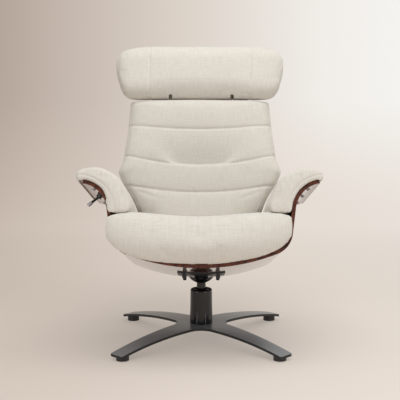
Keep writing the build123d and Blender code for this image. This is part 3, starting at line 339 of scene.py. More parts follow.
def ramp(tree, factor, stops):
    # colours between the stops, each a place from 0 to 1 and its colour
    made = addNode(tree, "ShaderNodeValToRGB", {"Fac": factor})
    elements = made.color_ramp.elements
    while len(elements) < len(stops):
        elements.new(0.5)
    for element, (place, colour) in zip(elements, stops):
        element.position = place
        element.color = (*colour, 1)
    return made.outputs["Color"]


def objectPlace(tree):
    return addNode(tree, "ShaderNodeTexCoord").outputs["Object"]


def dress(tree, shader, colour, height, strength, distance):
    # the colour and a bump of this height go to the shader
    bump = addNode(tree, "ShaderNodeBump", {"Height": height, "Strength": strength, "Distance": distance})
    tree.links.new(colour, shader.inputs["Base Color"])
    tree.links.new(bump.outputs["Normal"], shader.inputs["Normal"])


linen = {
    "dark": (0.625, 0.588, 0.522),
    "middle": (0.675, 0.642, 0.580),
    "light": (0.718, 0.690, 0.632),
    "threadPitch": 0.0016,
    "slubWidth": 0.0030,
    "slubLength": 0.045,
    "warpShare": 0.52,
    "stops": (0.34, 0.5, 0.66),
    "threadShare": 0.25,
    "slubShare": 0.6,
    "bump": 0.55,
    "relief": 0.0006,
}


def linenMaterial(name, shade=1.0):
    # cloth of thick and thin threads both ways: streak noise along each thread colours and lifts it
    made, tree, shader = newMaterial(
        name, **{"Roughness": 0.92, "Specular IOR Level": 0.2, "Sheen Weight": 0.25, "Sheen Roughness": 0.45}
    )
    vector = addNode(tree, "ShaderNodeUVMap", uv_map="weave").outputs["UV"]
    cross, along = 1 / linen["slubWidth"], 1 / linen["slubLength"]
    warp = streaks(tree, vector, (cross, along, 1), 3.0)
    weft = streaks(tree, vector, (along, cross, 1), 3.0)
    warp = mathNode(tree, "MULTIPLY", warp, linen["warpShare"])
    weft = mathNode(tree, "MULTIPLY", weft, 1 - linen["warpShare"])
    both = mathNode(tree, "ADD", warp, weft)
    colours = [tuple(shade * part for part in linen[key]) for key in ("dark", "middle", "light")]
    waves = {"Vector": vector, "Scale": math.pi / linen["threadPitch"] / 10, "Distortion": 1.2, "Detail": 1.0}
    threads = [
        addNode(tree, "ShaderNodeTexWave", waves, bands_direction=way).outputs["Fac"] for way in ("X", "Y")
    ]
    weave = mathNode(tree, "MULTIPLY", mathNode(tree, "ADD", *threads), linen["threadShare"])
    height = mathNode(tree, "ADD", weave, mathNode(tree, "MULTIPLY", both, linen["slubShare"]))
    colour = ramp(tree, both, list(zip(linen["stops"], colours)))
    dress(tree, shader, colour, height, linen["bump"], linen["relief"])
    return made


linenCloth = linenMaterial("linenCloth")
coverCloth = linenMaterial("coverCloth", 0.94)  # the rear cover is a little darker

walnut = {
    "dark": (0.030, 0.0055, 0.0020),
    "middle": (0.090, 0.0200, 0.0080),
    "light": (0.155, 0.0410, 0.0160),
    "stops": (0.36, 0.5, 0.66),
    "grainWidth": 0.012,
    "grainLength": 0.35,
    "poreScale": (1400, 28, 1400),
    "poreShare": 0.2,
}


def walnutMaterial():
    # lacquered veneer: long bent streaks for the growth rings and short dark ones for the pores
    gloss = {"Roughness": 0.42, "Specular IOR Level": 0.2}
    lacquer = {"Coat Weight": 1.0, "Coat Roughness": 0.04, "Coat IOR": 1.3}
    made, tree, shader = newMaterial("walnutVeneer", **gloss, **lacquer)
    vector = objectPlace(tree)
    turn = (chair["slopeAngle"], 0, 0)
    cross, along = 1 / walnut["grainWidth"], 1 / walnut["grainLength"]
    rings = streaks(tree, vector, (cross, along, cross), 4.0, turn)
    pores = streaks(tree, vector, walnut["poreScale"], 2.0, turn)
    ringTone = mathNode(tree, "MULTIPLY", rings, 1 - walnut["poreShare"])
    tone = mathNode(tree, "ADD", ringTone, mathNode(tree, "MULTIPLY", pores, walnut["poreShare"]))
    colour = ramp(tree, tone, list(zip(walnut["stops"], (walnut["dark"], walnut["middle"], walnut["light"]))))
    dress(tree, shader, colour, pores, 0.1, 0.0001)
    return made


paint = {"wearScale": 14.0, "wearStops": (0.3, 0.7), "shades": (0.8, 1.2), "glosses": (0.85, 1.15), "bump": 0.4}


def paintMaterial(name, colour, roughness, grain=900, relief=0.00004, metallic=0.0):
    # paint or metal with a fine orange-peel skin, and wear that makes tone and gloss slightly uneven
    made, tree, shader = newMaterial(name, **{"Metallic": metallic, "Specular IOR Level": 0.5})
    vector = objectPlace(tree)
    skin = noise(tree, vector, grain, 1.0)
    wear = noise(tree, vector, paint["wearScale"], 3.0)
    tones = [tuple(min(1, shade * part) for part in colour) for shade in paint["shades"]]
    gloss = mapRange(tree, wear, paint["wearStops"], [roughness * part for part in paint["glosses"]])
    tree.links.new(gloss, shader.inputs["Roughness"])
    dress(tree, shader, ramp(tree, wear, list(zip(paint["wearStops"], tones))), skin, paint["bump"], relief)
    return made


def plainWoodMaterial():
    # raw plywood: pale streaks along x
    made, tree, shader = newMaterial("plainPly", **{"Roughness": 0.7, "Specular IOR Level": 0.3})
    grain = streaks(tree, objectPlace(tree), (6, 160, 160), 3.0)
    colour = ramp(tree, grain, [(0.35, (0.36, 0.23, 0.12)), (0.65, (0.56, 0.40, 0.24))])
    dress(tree, shader, colour, grain, 0.2, 0.0003)
    return made


# black powder coat; the two greys are painted top light, a painted highlight on faces that look up
cast = {
    "black": (0.007, 0.0075, 0.008, 1),
    "paintedLitTopDark": (0.150, 0.158, 0.166),
    "paintedLitTopPale": (0.195, 0.203, 0.212),
    "upward": (0.72, 0.93),  # height of the normal at which the painted top light begins and is full
}


def castMaterial():
    # black powder coat with a painted highlight where a face looks up: the grey there is painted top light, and
    # the edges and the faces below stay black
    made, tree, shader = newMaterial("castPaintedTopLight", **{"Roughness": 0.3})
    normal = addNode(tree, "ShaderNodeNewGeometry").outputs["Normal"]
    facing = addNode(tree, "ShaderNodeSeparateXYZ", {"Vector": normal})
    upward = mapRange(tree, facing.outputs["Z"], cast["upward"])
    vector = objectPlace(tree)
    # the grey of the painted top light, its tone varying at random
    paintedTopTone = ramp(tree, noise(tree, vector, 9.0), [(0.35, cast["paintedLitTopDark"]), (0.65, cast["paintedLitTopPale"])])
    colour = addNode(tree, "ShaderNodeMixRGB", {"Fac": upward, "Color1": cast["black"], "Color2": paintedTopTone})
    dress(tree, shader, colour.outputs["Color"], noise(tree, vector, 900.0), 0.2, 0.00008)
    return made


def webbingMaterial():
    # elastic strap with diagonal ribs
    made, tree, shader = newMaterial("strapWebbing", **{"Roughness": 0.85, "Specular IOR Level": 0.2})
    waves = {"Vector": objectPlace(tree), "Scale": 120.0, "Distortion": 0.5}
    rib = addNode(tree, "ShaderNodeTexWave", waves, bands_direction="DIAGONAL").outputs["Fac"]
    colour = ramp(tree, rib, [(0.2, (0.05, 0.045, 0.04)), (0.8, (0.16, 0.145, 0.13))])
    dress(tree, shader, colour, rib, 0.5, 0.0005)
    return made


walnutVeneer = walnutMaterial()
plainPly = plainWoodMaterial()
strapWebbing = webbingMaterial()
blackGloss = paintMaterial("blackGloss", (0.004, 0.004, 0.0045), 0.11)
castPaintedTopLight = castMaterial()
blackMatt = paintMaterial("blackMatt", (0.02, 0.02, 0.021), 0.45)
blackPlastic = paintMaterial("blackPlastic", (0.016, 0.016, 0.016), 0.5, grain=1600, relief=0.00006)
stoneEnamel = paintMaterial("stoneEnamel", (0.42, 0.385, 0.345), 0.45)
darkSteel = paintMaterial("darkSteel", (0.09, 0.09, 0.092), 0.25, metallic=1.0)
brightSteel = paintMaterial("brightSteel", (0.62, 0.62, 0.63), 0.28, metallic=1.0)
palePlastic = paintMaterial("palePlastic", (0.62, 0.60, 0.54), 0.45)

nodeMaterials = {
    "blackGloss": ["column", "column_cap", "stem_cover", "stem"],
    # the star base gets the cast paint, with painted top light on its upward faces
    "castPaintedTopLight": ["star_base"],
    "blackMatt": [
        "mounting_plate", "plate_nuts", "swivel_head", "lever_bracket", "lever_arm", "gas_cylinder",
        "slotted_brackets", "rod_plate", "back_frame", "hinge_plates",
    ],
    "stoneEnamel": ["headrest_arms", "headrest_leaves"],
    "blackPlastic": ["floor_glides", "rail_caps"],
    "darkSteel": ["plate_bolts", "floor_washers"],
    "brightSteel": [
        "glide_screws", "base_bolt", "base_washer", "retaining_ring", "pad_screws", "bearer_screws",
        "slide_rails", "pivot_block_screws", "pivot_bolts", "lever_screws", "lever_pin", "lever_tip",
        "bracket_screws", "gas_rod", "slide_pins", "headrest_pins",
    ],
    "palePlastic": ["upper_bush", "lower_bush", "thrust_washer", "seat_runners", "pivot_bushes"],
    "walnutVeneer": ["wood_shell"],
    "plainPly": ["rail_bearers", "gas_saddles", "pivot_blocks", "seat_frame", "headrest_board"],
    "strapWebbing": ["seat_webbing", "back_webbing"],
}
for name, members in nodeMaterials.items():
    for member in members:
        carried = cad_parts[member]
        if not carried.material_slots:
            carried.data.materials.append(bpy.data.materials[name])
        for slot in carried.material_slots:
            slot.material = bpy.data.materials[name]
print("materials on the carried-over nodes done")


def fitted(values, low, high):
    # the same values stretched evenly so that they run from low to high
    return low + (values - values.min()) * (high - low) / (values.max() - values.min())


def reachOut(values, along, target, cells, least=0.9, most=1.25):
    # values are scaled so that the largest of each cell along the piece meets the target there
    start, size = along.min(), (along.max() - along.min()) / cells
    reached = np.zeros(cells)
    np.maximum.at(reached, np.minimum(((along - start) / size).astype(int), cells - 1), values)
    centres = start + size * (np.arange(cells) + 0.5)
    factor = np.clip(target(centres) / np.maximum(reached, 1e-4), least, most)
    factor = np.convolve(np.pad(factor, 1, mode="edge"), [0.25, 0.5, 0.25], mode="valid")
    return values * np.interp(along, centres, factor)


seat = {
    "halfWidth": 0.262,
    "crown": 0.160,
    "saddle": 0.013,
    "saddleHalfWidth": 0.225,
    "middle": 0.118,
    "squareness": 14,
    "rear": 0.008,
    "round": 0.026,
    "floorGap": 0.004,
    "restHeight": 0.082,
    "leastThick": 0.010,
    "face": -0.368,
    "bodyFront": 0.008,  # how far the body stands into the bulb
    "cornerDown": 0.020,
    "cornerUp": 0.014,
    "drop": 0.0050,
    "overlap": 0.100,
    "bulbHalfWidth": 0.287,
    "bulbShift": -0.0015,
    "bulbLow": 0.0135,
    "footLeft": (2.6, 0.40),
    "footRight": (2.1, 0.45),
    "bulbDepth": 0.046,
    "bulbRoundness": 0.85,
    "inset": 0.003,
    "pressure": 4.0,
    "swellCap": 0.006,
    "voxel": 0.0055,
    "seam": 0.246,
    "seamWidth": 0.0028,
    "seamDepth": 0.0016,
    "unevenness": 0.0007,
    "wallGap": 0.0025,
    "floorClear": 0.002,
}


def seatTop(x, half):
    # middle + (saddle - middle) (1 - |x / half|^k)^(1/k), the saddle rising as sin squared to the sides
    roll = (1 - np.abs(x / half) ** seat["squareness"]) ** (1 / seat["squareness"])
    rise = np.sin(math.pi / 2 * np.minimum(1, np.abs(x) / seat["saddleHalfWidth"])) ** 2
    return seat["middle"] + (seat["crown"] + seat["saddle"] * rise - seat["middle"]) * roll


def seatBody(share):
    # section at x: top line, quarter round to the front, front, bottom, step up and flat rest
    x = share * seat["halfWidth"]
    high = seatTop(x, seat["halfWidth"]) - seat["inset"]
    low = shellFloor(np.abs(x) + abs(chair["shift"])) + seat["floorGap"] + seat["inset"]
    flat = np.minimum(np.maximum(seat["restHeight"], low), high - seat["leastThick"])
    low = np.minimum(low, high - 2 * seat["leastThick"])
    turn = np.linspace(0, math.pi / 2, 6)
    face, rear = seat["face"], seat["rear"] - seat["inset"] / 2
    step = face + seat["overlap"] - seat["inset"]
    curve = face + seat["round"] * (1 - np.sin(turn))
    y = np.array([rear, *curve, face - seat["bodyFront"], face - seat["bodyFront"], face, step, step, rear])
    brow = high - seat["drop"] * (1 - np.cos(turn))[:, None]
    w = np.stack([high, *brow, high - seat["cornerDown"], low + seat["cornerUp"], low, low, flat, flat], axis=1)
    return slopeToWorld(x[:, None] + chair["shift"], y, w)


def bulbFoot(x):
    # middle - (middle - low) (1 - |x / half|^k)^p, the left being a little fuller than the right
    s = np.minimum(np.abs(x) / seat["bulbHalfWidth"], 1)
    pairs = zip(seat["footLeft"], seat["footRight"])
    k, p = (np.where(np.asarray(x) < 0, left, right) for left, right in pairs)
    return seat["middle"] - (seat["middle"] - seat["bulbLow"]) * (1 - s**k) ** p


def seatBulb(share):
    # section at x: an arc from the top through the nose to the foot; the nose falls back as
    # (1 - s^4)^(1/2), s from -1 to 1 over the width
    x = share * (seat["bulbHalfWidth"] - seat["inset"])
    s = np.abs(share)
    high = seatTop(share * seat["bulbHalfWidth"], seat["bulbHalfWidth"]) - seat["drop"] - seat["inset"]
    low = bulbFoot(share * seat["bulbHalfWidth"]) + seat["inset"]
    depth = seat["bulbDepth"] * (1 - s**4) ** 0.5 + 0.002 - seat["inset"]
    half = ((high - low) / 2)[:, None]
    angle = np.linspace(math.pi / 2, -math.pi / 2, 24)[None, :]
    y = seat["face"] - depth[:, None] * np.cos(angle) ** seat["bulbRoundness"]
    w = ((high + low) / 2)[:, None] + half * np.sin(angle)
    return slopeToWorld(x[:, None] + chair["shift"], y, w)


def makeSeat():
    # body and bulb made one, blown up, and stretched back to the chair's own measures
    share = sineSteps(61) * 0.985  # the end sections keep some height
    made = closedTube("seatCushion", seatBody(share), flip=True)
    joinTo(made, closedTube("bulb", seatBulb(share), flip=True))
    evenCells(made, seat["voxel"])
    relax(made, 3)
    place = worldToSlope(coordinates(made.data))
    held = (place[:, 2] < seat["restHeight"] + 0.004) & (place[:, 1] > seat["face"] + seat["overlap"] - 0.01)
    held |= (place[:, 1] > seat["face"] + 0.01) & (place[:, 2] < shellFloor(place[:, 0]) + 0.015)
    swell(made, seat["pressure"], seat["swellCap"], held)
    relax(made, 2)
    divide(made)
    place = worldToSlope(coordinates(made.data))
    middle = chair["shift"] + seat["bulbShift"]
    x = fitted(place[:, 0], middle - seat["bulbHalfWidth"], middle + seat["bulbHalfWidth"])
    y = fitted(place[:, 1], seat["face"] - seat["bulbDepth"], seat["rear"])
    w = place[:, 2]
    # the bulb's lower half reaches down to its foot
    below = (w < seat["middle"]) & (y < seat["face"] + 0.004)
    depth = reachOut(
        np.where(below, seat["middle"] - w, 0), x - chair["shift"], lambda at: seat["middle"] - bulbFoot(at), 80
    )
    w = np.where(below, seat["middle"] - depth, w)
    # behind the bulb it is kept off the shell's wall and floor, and above the webbing
    inside = y > seat["face"] + 0.003
    wall = wallInside(w) - seat["wallGap"]
    x = np.where(inside, np.clip(x, -wall, wall), x)
    w = np.maximum(w, np.where(inside, shellFloor(x) + seat["floorClear"], seat["bulbLow"]))
    onFrame = y > seat["face"] + seat["overlap"] + 0.002
    w = np.where(onFrame, np.maximum(w, seat["restHeight"] + 0.0005), w)
    y = np.where(inside, y, np.minimum(y, seat["face"] + 0.003))
    beside = (np.abs(x) > wall) & (y > seat["face"] - 0.001)
    y = np.where(beside, seat["face"] - 0.001, y)
    points = slopeToWorld(x, y, w)
    setCoordinates(made.data, points)
    facing = normals(made.data)
    side = np.abs(x - chair["shift"])
    seam = groove(side - seat["seam"], seat["seamWidth"], seat["seamDepth"]) * (y > seat["face"] + 0.02)
    points = points - facing * seam[:, None] + facing * ripple(points, seat["unevenness"])
    setCoordinates(made.data, points)
    weaveMap(made.data, y - w, x)
    finishPiece(made, linenCloth, "seat", "fabric", "seat_cushion", fill=0.9)


back = {
    "heights": [-0.085, 0.0, 0.030, 0.050, 0.075, 0.110, 0.150, 0.195, 0.240, 0.340, 0.459],
    "halfWidths": [0.196, 0.203, 0.213, 0.223, 0.232, 0.250, 0.277, 0.294, 0.276, 0.262, 0.252],
    "front": 0.060,
    "crownDrop": 0.020,
    "waistDrop": 0.006,
    "rear": -0.027,
    "endRound": 0.024,
    "crownFrom": 0.080,
    "crownOver": 0.100,
    "edgePower": 8,
    "inset": 0.002,
    "pressure": 5.0,
    "swellCap": 0.006,
    "puff": 0.006,
    "recess": 0.020,
    "recessHalfWidth": 0.086,
    "recessSpread": 0.9,
    "voxel": 0.0055,
    "tubeHalfWidths": [0.165, 0.165, 0.225, 0.215],
    "tubeHeights": [-0.064, 0.100, 0.195, 0.430],
    "pocketMargin": 0.013,
    "pocketFront": -0.004,
    "seamWidth": 0.0045,
    "seamDepth": 0.003,
    "sideSeam": 0.010,
    "pipingWidth": 0.0035,
    "pipingDepth": 0.002,
    "unevenness": 0.0007,
}
# each seam: height in the middle, rise to the sides, half width over which it rises, power of the rise
backSeams = [(0.336, 0.020, 0.231, 2.0), (0.203, 0.047, 0.269, 1.9), (0.1055, 0.0255, 0.231, 2.0)]


def seamHeights(x):
    # u = middle + rise (|x| / half)^power for each seam
    return [middle + rise * (np.abs(x) / half) ** power for middle, rise, half, power in backSeams]


def backHalfWidth(u):
    # the table's straight lines averaged over a 20 mm window
    window = np.linspace(-0.010, 0.010, 7)
    return np.mean([np.interp(u + step, back["heights"], back["halfWidths"]) for step in window], axis=0)


def frameCutter(name, heights, halfWidths, near, far):
    # prism over the outline (half width at each height), from n = near to n = far
    side = list(zip(halfWidths, heights))
    outline = np.array(side + [(-x, u) for x, u in side[::-1]])
    return closedTube(name, np.array([backToWorld(outline[:, 0], outline[:, 1], n) for n in (near, far)]))


def panelPuff(u, x):
    # between two seams the cloth stands out as (1 - (2 t - 1)^2)^(1/2), t from 0 to 1 across the panel
    edges = [np.full_like(x, back["heights"][-1])] + [np.broadcast_to(h, x.shape) for h in seamHeights(x)]
    edges.append(np.full_like(x, back["heights"][0]))
    puff = np.zeros_like(x)
    for upper, lower in zip(edges, edges[1:]):
        t = np.clip((u - lower) / (upper - lower), 0, 1)
        puff += np.sqrt(1 - (2 * t - 1) ** 2)
    return puff


def recessDepth(u, x):
    # the middle over the second seam lies back: 1 over the seam, fading up to the first, with soft sides
    # whose half width grows with the height
    first, second = seamHeights(x)[:2]
    t = np.clip((u - second) / (first - second), 0, 1)
    half = back["recessHalfWidth"] + back["recessSpread"] * (u - second)
    softness = 0.006 + 0.05 * t
    across = 1 / (1 + np.exp(np.clip((np.abs(x) - half) / softness, -30, 30)))
    return np.minimum(1, t / 0.06) * (1 - t) ** 1.3 * across


def makeBack():
    # front n = rear + (crown - rear) (1 - |x / half|^8)^(1/3) times a quarter round at both ends, with the
    # panels' puff added and a pocket cut for the frame; the recess is pressed in after the swelling
    inset = back["inset"]
    low, high = back["heights"][0] + inset, back["heights"][-1] - inset
    u = (low + (high - low) * (1 - np.cos(np.linspace(0, math.pi, 160))) / 2)[:, None]
    share = sineSteps(121)[None, :]
    x = (backHalfWidth(u) - inset) * share
    u = np.broadcast_to(u, x.shape)
    ends = np.minimum(u - low, high - u)
    quarter = np.sqrt(np.clip(1 - (1 - np.minimum(1, ends / back["endRound"])) ** 2, 0, 1))
    rise = np.clip((u - back["crownFrom"]) / back["crownOver"], 0, 1)
    drop = back["waistDrop"] + (back["crownDrop"] - back["waistDrop"]) * rise
    crown = back["front"] - inset - drop * share**2
    crown = crown + back["puff"] * (panelPuff(u, x) - 1)
    rear = back["rear"] + 0.002
    edge = (1 - np.abs(share) ** back["edgePower"]) ** (1 / 3)
    n = rear + (crown - rear) * edge * quarter + 0.004 * (1 - edge * quarter)
    front = backToWorld(x + chair["shift"], u, n)
    flat = backToWorld(x[:, ::-1] * 0.995 + chair["shift"], u, rear)
    made = closedTube("backCushion", np.concatenate([front, flat], axis=1))
    widths = [width + back["pocketMargin"] for width in back["tubeHalfWidths"]]
    cutAway(made, frameCutter("pocket", back["tubeHeights"], widths, back["rear"] - 0.02, back["pocketFront"]))
    evenCells(made, back["voxel"])
    relax(made, 2)
    place = worldToBack(coordinates(made.data))
    seams = np.array([np.abs(place[:, 1] - height) for height in seamHeights(place[:, 0] - chair["shift"])])
    onSeam = (seams.min(axis=0) < back["voxel"] * 0.8) & (place[:, 2] > 0.015)
    pinned = onSeam | (place[:, 2] < -0.001)
    swell(made, back["pressure"], back["swellCap"], pinned)
    relax(made, 1)
    divide(made)
    points = coordinates(made.data)
    place = worldToBack(points)
    x = place[:, 0] - chair["shift"]
    facing = normals(made.data)
    outside = place[:, 2] > 0.004
    dent = sum(groove(place[:, 1] - height, back["seamWidth"], back["seamDepth"]) for height in seamHeights(x))
    inward = backHalfWidth(place[:, 1]) - np.abs(x)
    piping = groove(inward - back["sideSeam"], back["pipingWidth"], back["pipingDepth"]) * (place[:, 2] > 0.012)
    points = points - facing * (dent * outside + piping)[:, None] + facing * ripple(points, back["unevenness"])
    place = worldToBack(points)
    place[:, 1] = fitted(place[:, 1], back["heights"][0] + 0.002, back["heights"][-1])
    x = place[:, 0] - chair["shift"]
    place[:, 0] = chair["shift"] + np.sign(x) * reachOut(np.abs(x), place[:, 1], backHalfWidth, 70)
    place[:, 2] -= back["recess"] * recessDepth(place[:, 1], x) * np.clip((place[:, 2] - 0.006) / 0.03, 0, 1)
    place[:, 2] = np.maximum(place[:, 2], back["rear"] + 0.0005)
    setCoordinates(made.data, backToWorld(place[:, 0], place[:, 1], place[:, 2]))
    weaveMap(made.data, place[:, 1], place[:, 0] - np.sign(x) * place[:, 2])
    finishPiece(made, linenCloth, "back", "fabric", "back_cushion", fill=0.85)


cover = {"inset": 0.009, "drop": 0.020, "high": 0.450, "near": -0.0275, "far": -0.043, "edgePower": 10}


def makeCover():
    # rear panel over the frame: n = near - depth (1 - |x / half|^p)^(1/2) (1 - |v|^p)^(1/2),
    # v from -1 to 1 over its height
    v = sineSteps(80)[:, None]
    share = v.T
    low, high = back["heights"][0] - cover["drop"], cover["high"]
    u = (low + high) / 2 + (high - low) / 2 * v
    x = (backHalfWidth(u) - cover["inset"]) * share
    power = cover["edgePower"]
    rise = np.sqrt(np.clip((1 - np.abs(share) ** power) * (1 - np.abs(v) ** power), 0, 1))
    n = cover["near"] - (cover["near"] - cover["far"]) * rise
    skin = backToWorld(x + chair["shift"], u, n)
    flat = backToWorld(x[:, ::-1] + chair["shift"], u, cover["near"])
    made = closedTube("backCover", np.concatenate([skin, flat[:, 1:-1]], axis=1), flip=True)
    divide(made)
    place = worldToBack(coordinates(made.data))
    weaveMap(made.data, place[:, 1], place[:, 0])
    finishPiece(made, coverCloth, "back", "cover_cloth", "back_cover")


headrest = {
    "halfWidth": 0.305,
    "low": 0.461,
    "wide": 0.587,
    "high": 0.664,
    "axisU": 0.519,
    "axisN": 0.010,
    "radius": 0.0575,
    "inset": 0.002,
    "pressure": 12.0,
    "swellCap": 0.006,
    "voxel": 0.0055,
    "seam": 0.180,
    "seamWidth": 0.0035,
    "seamDepth": 0.0022,
    "endSeam": 0.955,  # share of the half width
    "endSeamWidth": 0.012,
    "endSeamDepth": 0.0015,
    "unevenness": 0.0006,
    "ridge": 0.550,  # height where the cloth's map turns over to the rear
    "slotInner": 0.1062,
    "slotOuter": 0.1142,
    "slotHalf": 0.0133,
    "slotReach": 0.080,
    "armFoot": (-0.0145, 0.417),
    "tilt": math.radians(30),
}


def headrestSlot(side):
    # fan of space for one arm: hull of a circle at the pivot and two at its reach, as far apart as the tilt
    centre = np.array([headrest["axisN"], headrest["axisU"]])
    run = np.array(headrest["armFoot"]) - centre
    start = math.atan2(run[1], run[0])
    sweep = np.linspace(start, start + headrest["tilt"], 9)
    r, reach = headrest["slotHalf"], headrest["slotReach"]
    arcFar = centre + reach * np.stack([np.cos(sweep), np.sin(sweep)], axis=-1)
    before = centre + r * np.array([math.cos(start - math.pi / 2), math.sin(start - math.pi / 2)])
    after = centre + r * np.array([math.cos(sweep[-1] + math.pi / 2), math.sin(sweep[-1] + math.pi / 2)])
    startOut = arcFar[0] + (before - centre)
    endOut = arcFar[-1] + (after - centre)
    crownAngles = np.linspace(sweep[-1] + math.pi / 2, start + 1.5 * math.pi, 9)
    crown = centre + r * np.stack([np.cos(crownAngles), np.sin(crownAngles)], axis=-1)
    outline = np.concatenate([[startOut], arcFar, [endOut], crown])
    faces = (headrest["slotInner"], headrest["slotOuter"])
    rings = [backToWorld(side * x, outline[:, 1], outline[:, 0]) for x in faces]
    return closedTube("slot", np.array(rings), flip=side > 0)


def makeHeadrest():
    # section at x: a stadium, two half circles of radius r joined by straight sides;
    # r and the upper end follow (1 - s^6)^(1/3), the lower end (1 - s^20)^1.3, s = |x| / half width
    inset = headrest["inset"]
    share = sineSteps(71) * 0.99  # the end sections keep some height
    x = share * (headrest["halfWidth"] - inset)
    s = np.abs(share)
    roll = (1 - s**6) ** (1 / 3)
    foot = (1 - s**20) ** 1.3
    low = headrest["wide"] - (headrest["wide"] - headrest["low"] - inset) * foot
    high = headrest["wide"] + (headrest["high"] - headrest["wide"] - inset) * roll
    r = np.minimum((headrest["radius"] - inset) * roll, 0.46 * (high - low))
    angle = np.linspace(0, math.pi, 20)
    around = np.concatenate([angle, angle + math.pi])
    lift = np.concatenate([np.ones(20), np.zeros(20)])
    centreU = low[:, None] + r[:, None] + lift[None, :] * (high - low - 2 * r)[:, None]
    n = headrest["axisN"] + r[:, None] * np.cos(around)[None, :]
    u = centreU + r[:, None] * np.sin(around)[None, :]
    made = closedTube("headrestCushion", backToWorld(x[:, None] + chair["shift"], u, n))
    evenCells(made, headrest["voxel"])
    relax(made, 2)
    place = worldToBack(coordinates(made.data))
    onSeam = np.abs(np.abs(place[:, 0] - chair["shift"]) - headrest["seam"]) < headrest["voxel"] * 0.6
    swell(made, headrest["pressure"], headrest["swellCap"], onSeam)
    for side in (-1, 1):
        cutAway(made, headrestSlot(side))
    divide(made)
    points = coordinates(made.data)
    facing = normals(made.data)
    place = worldToBack(points)
    x = place[:, 0] - chair["shift"]
    inSlot = np.abs(place[:, 0]) > headrest["slotInner"] - 0.003
    inSlot &= np.abs(place[:, 0]) < headrest["slotOuter"] + 0.003
    dent = groove(np.abs(x) - headrest["seam"], headrest["seamWidth"], headrest["seamDepth"])
    edge = np.abs(x) / headrest["halfWidth"]
    dent = dent + groove(edge - headrest["endSeam"], headrest["endSeamWidth"], headrest["endSeamDepth"])
    swing = ripple(points, headrest["unevenness"]) * (1 - inSlot[:, None])
    points = points - facing * dent[:, None] + facing * swing
    place = worldToBack(points)
    # the lower end stays round about the pivot, clear of the back
    left, right = chair["shift"] - headrest["halfWidth"], chair["shift"] + headrest["halfWidth"]
    place[:, 0] = fitted(place[:, 0], left, right)
    place[:, 1] = fitted(place[:, 1], headrest["low"], headrest["high"])
    offN, offU = place[:, 2] - headrest["axisN"], place[:, 1] - headrest["axisU"]
    far = np.hypot(offN, offU)
    limit = np.where(offU < 0, np.minimum(1, headrest["radius"] / np.maximum(far, 1e-6)), 1.0)
    place[:, 2] = headrest["axisN"] + offN * limit
    place[:, 1] = headrest["axisU"] + offU * limit
    setCoordinates(made.data, backToWorld(place[:, 0], place[:, 1], place[:, 2]))
    upper = np.sign(place[:, 1] - headrest["ridge"])
    weaveMap(made.data, place[:, 1] - upper * place[:, 2], place[:, 0])
    finishPiece(made, linenCloth, "headrest", "fabric", "headrest_cushion", fill=0.95)


pad = {
    "outline": [
        (0.220, 0.1722), (0.2185, 0.202), (0.2469, 0.2772), (0.3023, 0.3133),
        (0.3398, 0.3172), (0.3801, 0.3049), (0.3859, 0.283), (0.379, 0.2675),
    ],
    "front": -0.377,
    "rear": 0.118,
    "endRound": 0.014,
    "lip": 0.0125,
    "lipDepth": 0.0085,
    "lipEnd": math.radians(48),
    "lipFade": math.radians(25),
    "footTop": 0.176,  # above this the front's end is rounded, fully after footRise
    "footRise": 0.030,
    "curlFrom": 0.186,  # height where the curl's arc takes over from the straight wall
    "woodGap": 0.0006,
    "woodClear": 0.0008,
    "crownDropLeft": 0.002,
    "crownDropRight": 0.005,
    "inset": 0.001,
    "pressure": 3.5,
    "swellCap": 0.0045,
    "voxel": 0.005,
    "notchFront": 0.036,
    "notchRear": 0.200,
    "notchBottom": 0.150,
    "notchTop": 0.222,
    "notchSides": (0.150, 0.400),
    "seamOffset": 0.013,
    "seamWidth": 0.0028,
    "seamDepth": 0.0016,
    "unevenness": 0.0005,
}


def smoothLine(points, perSpan):
    # each span is the cubic through its two ends whose slopes come from the neighbours on both sides
    p = np.array(points)
    p = np.concatenate([[2 * p[0] - p[1]], p, [2 * p[-1] - p[-2]]])
    t = np.linspace(0, 1, perSpan, endpoint=False)[None, :, None]
    a, b, c, d = (p[k : len(p) - 3 + k][:, None, :] for k in range(4))
    spans = 0.5 * (2 * b + (c - a) * t + (2 * a - 5 * b + 4 * c - d) * t**2 + (3 * b - a - 3 * c + d) * t**3)
    return np.concatenate([spans.reshape(-1, 2), p[-2][None, :]])


def woodLine():
    # inner face of the arm from its tip down to the pad's foot: the curl's arc, then the straight wall;
    # with it comes the angle of the wood's run at each point
    radius = shell["curlRadius"] + shell["thickness"] + pad["woodGap"]
    runs = np.linspace(shell["curlEnd"], shell["wallAngle"], 24)
    arc = curlCentre - radius * np.stack([np.sin(runs), -np.cos(runs)], axis=-1)
    top = arc[-1]
    foot = top - wallRun * (top[1] - pad["outline"][0][1]) / wallRun[1]
    return np.concatenate([arc, np.linspace(top, foot, 8)[1:]]), np.append(runs, [shell["wallAngle"]] * 7)


woodReach = shell["curlRadius"] + shell["thickness"]


def woodDistance(place):
    # how far a place is off the wood: from the curl's arc above, from the wall's inner face below
    reach = np.hypot(np.abs(place[:, 0]) - curlCentre[0], place[:, 2] - curlCentre[1])
    below = wallInside(place[:, 2]) - np.abs(place[:, 0])
    return np.where(place[:, 2] > pad["curlFrom"], reach - woodReach, below)


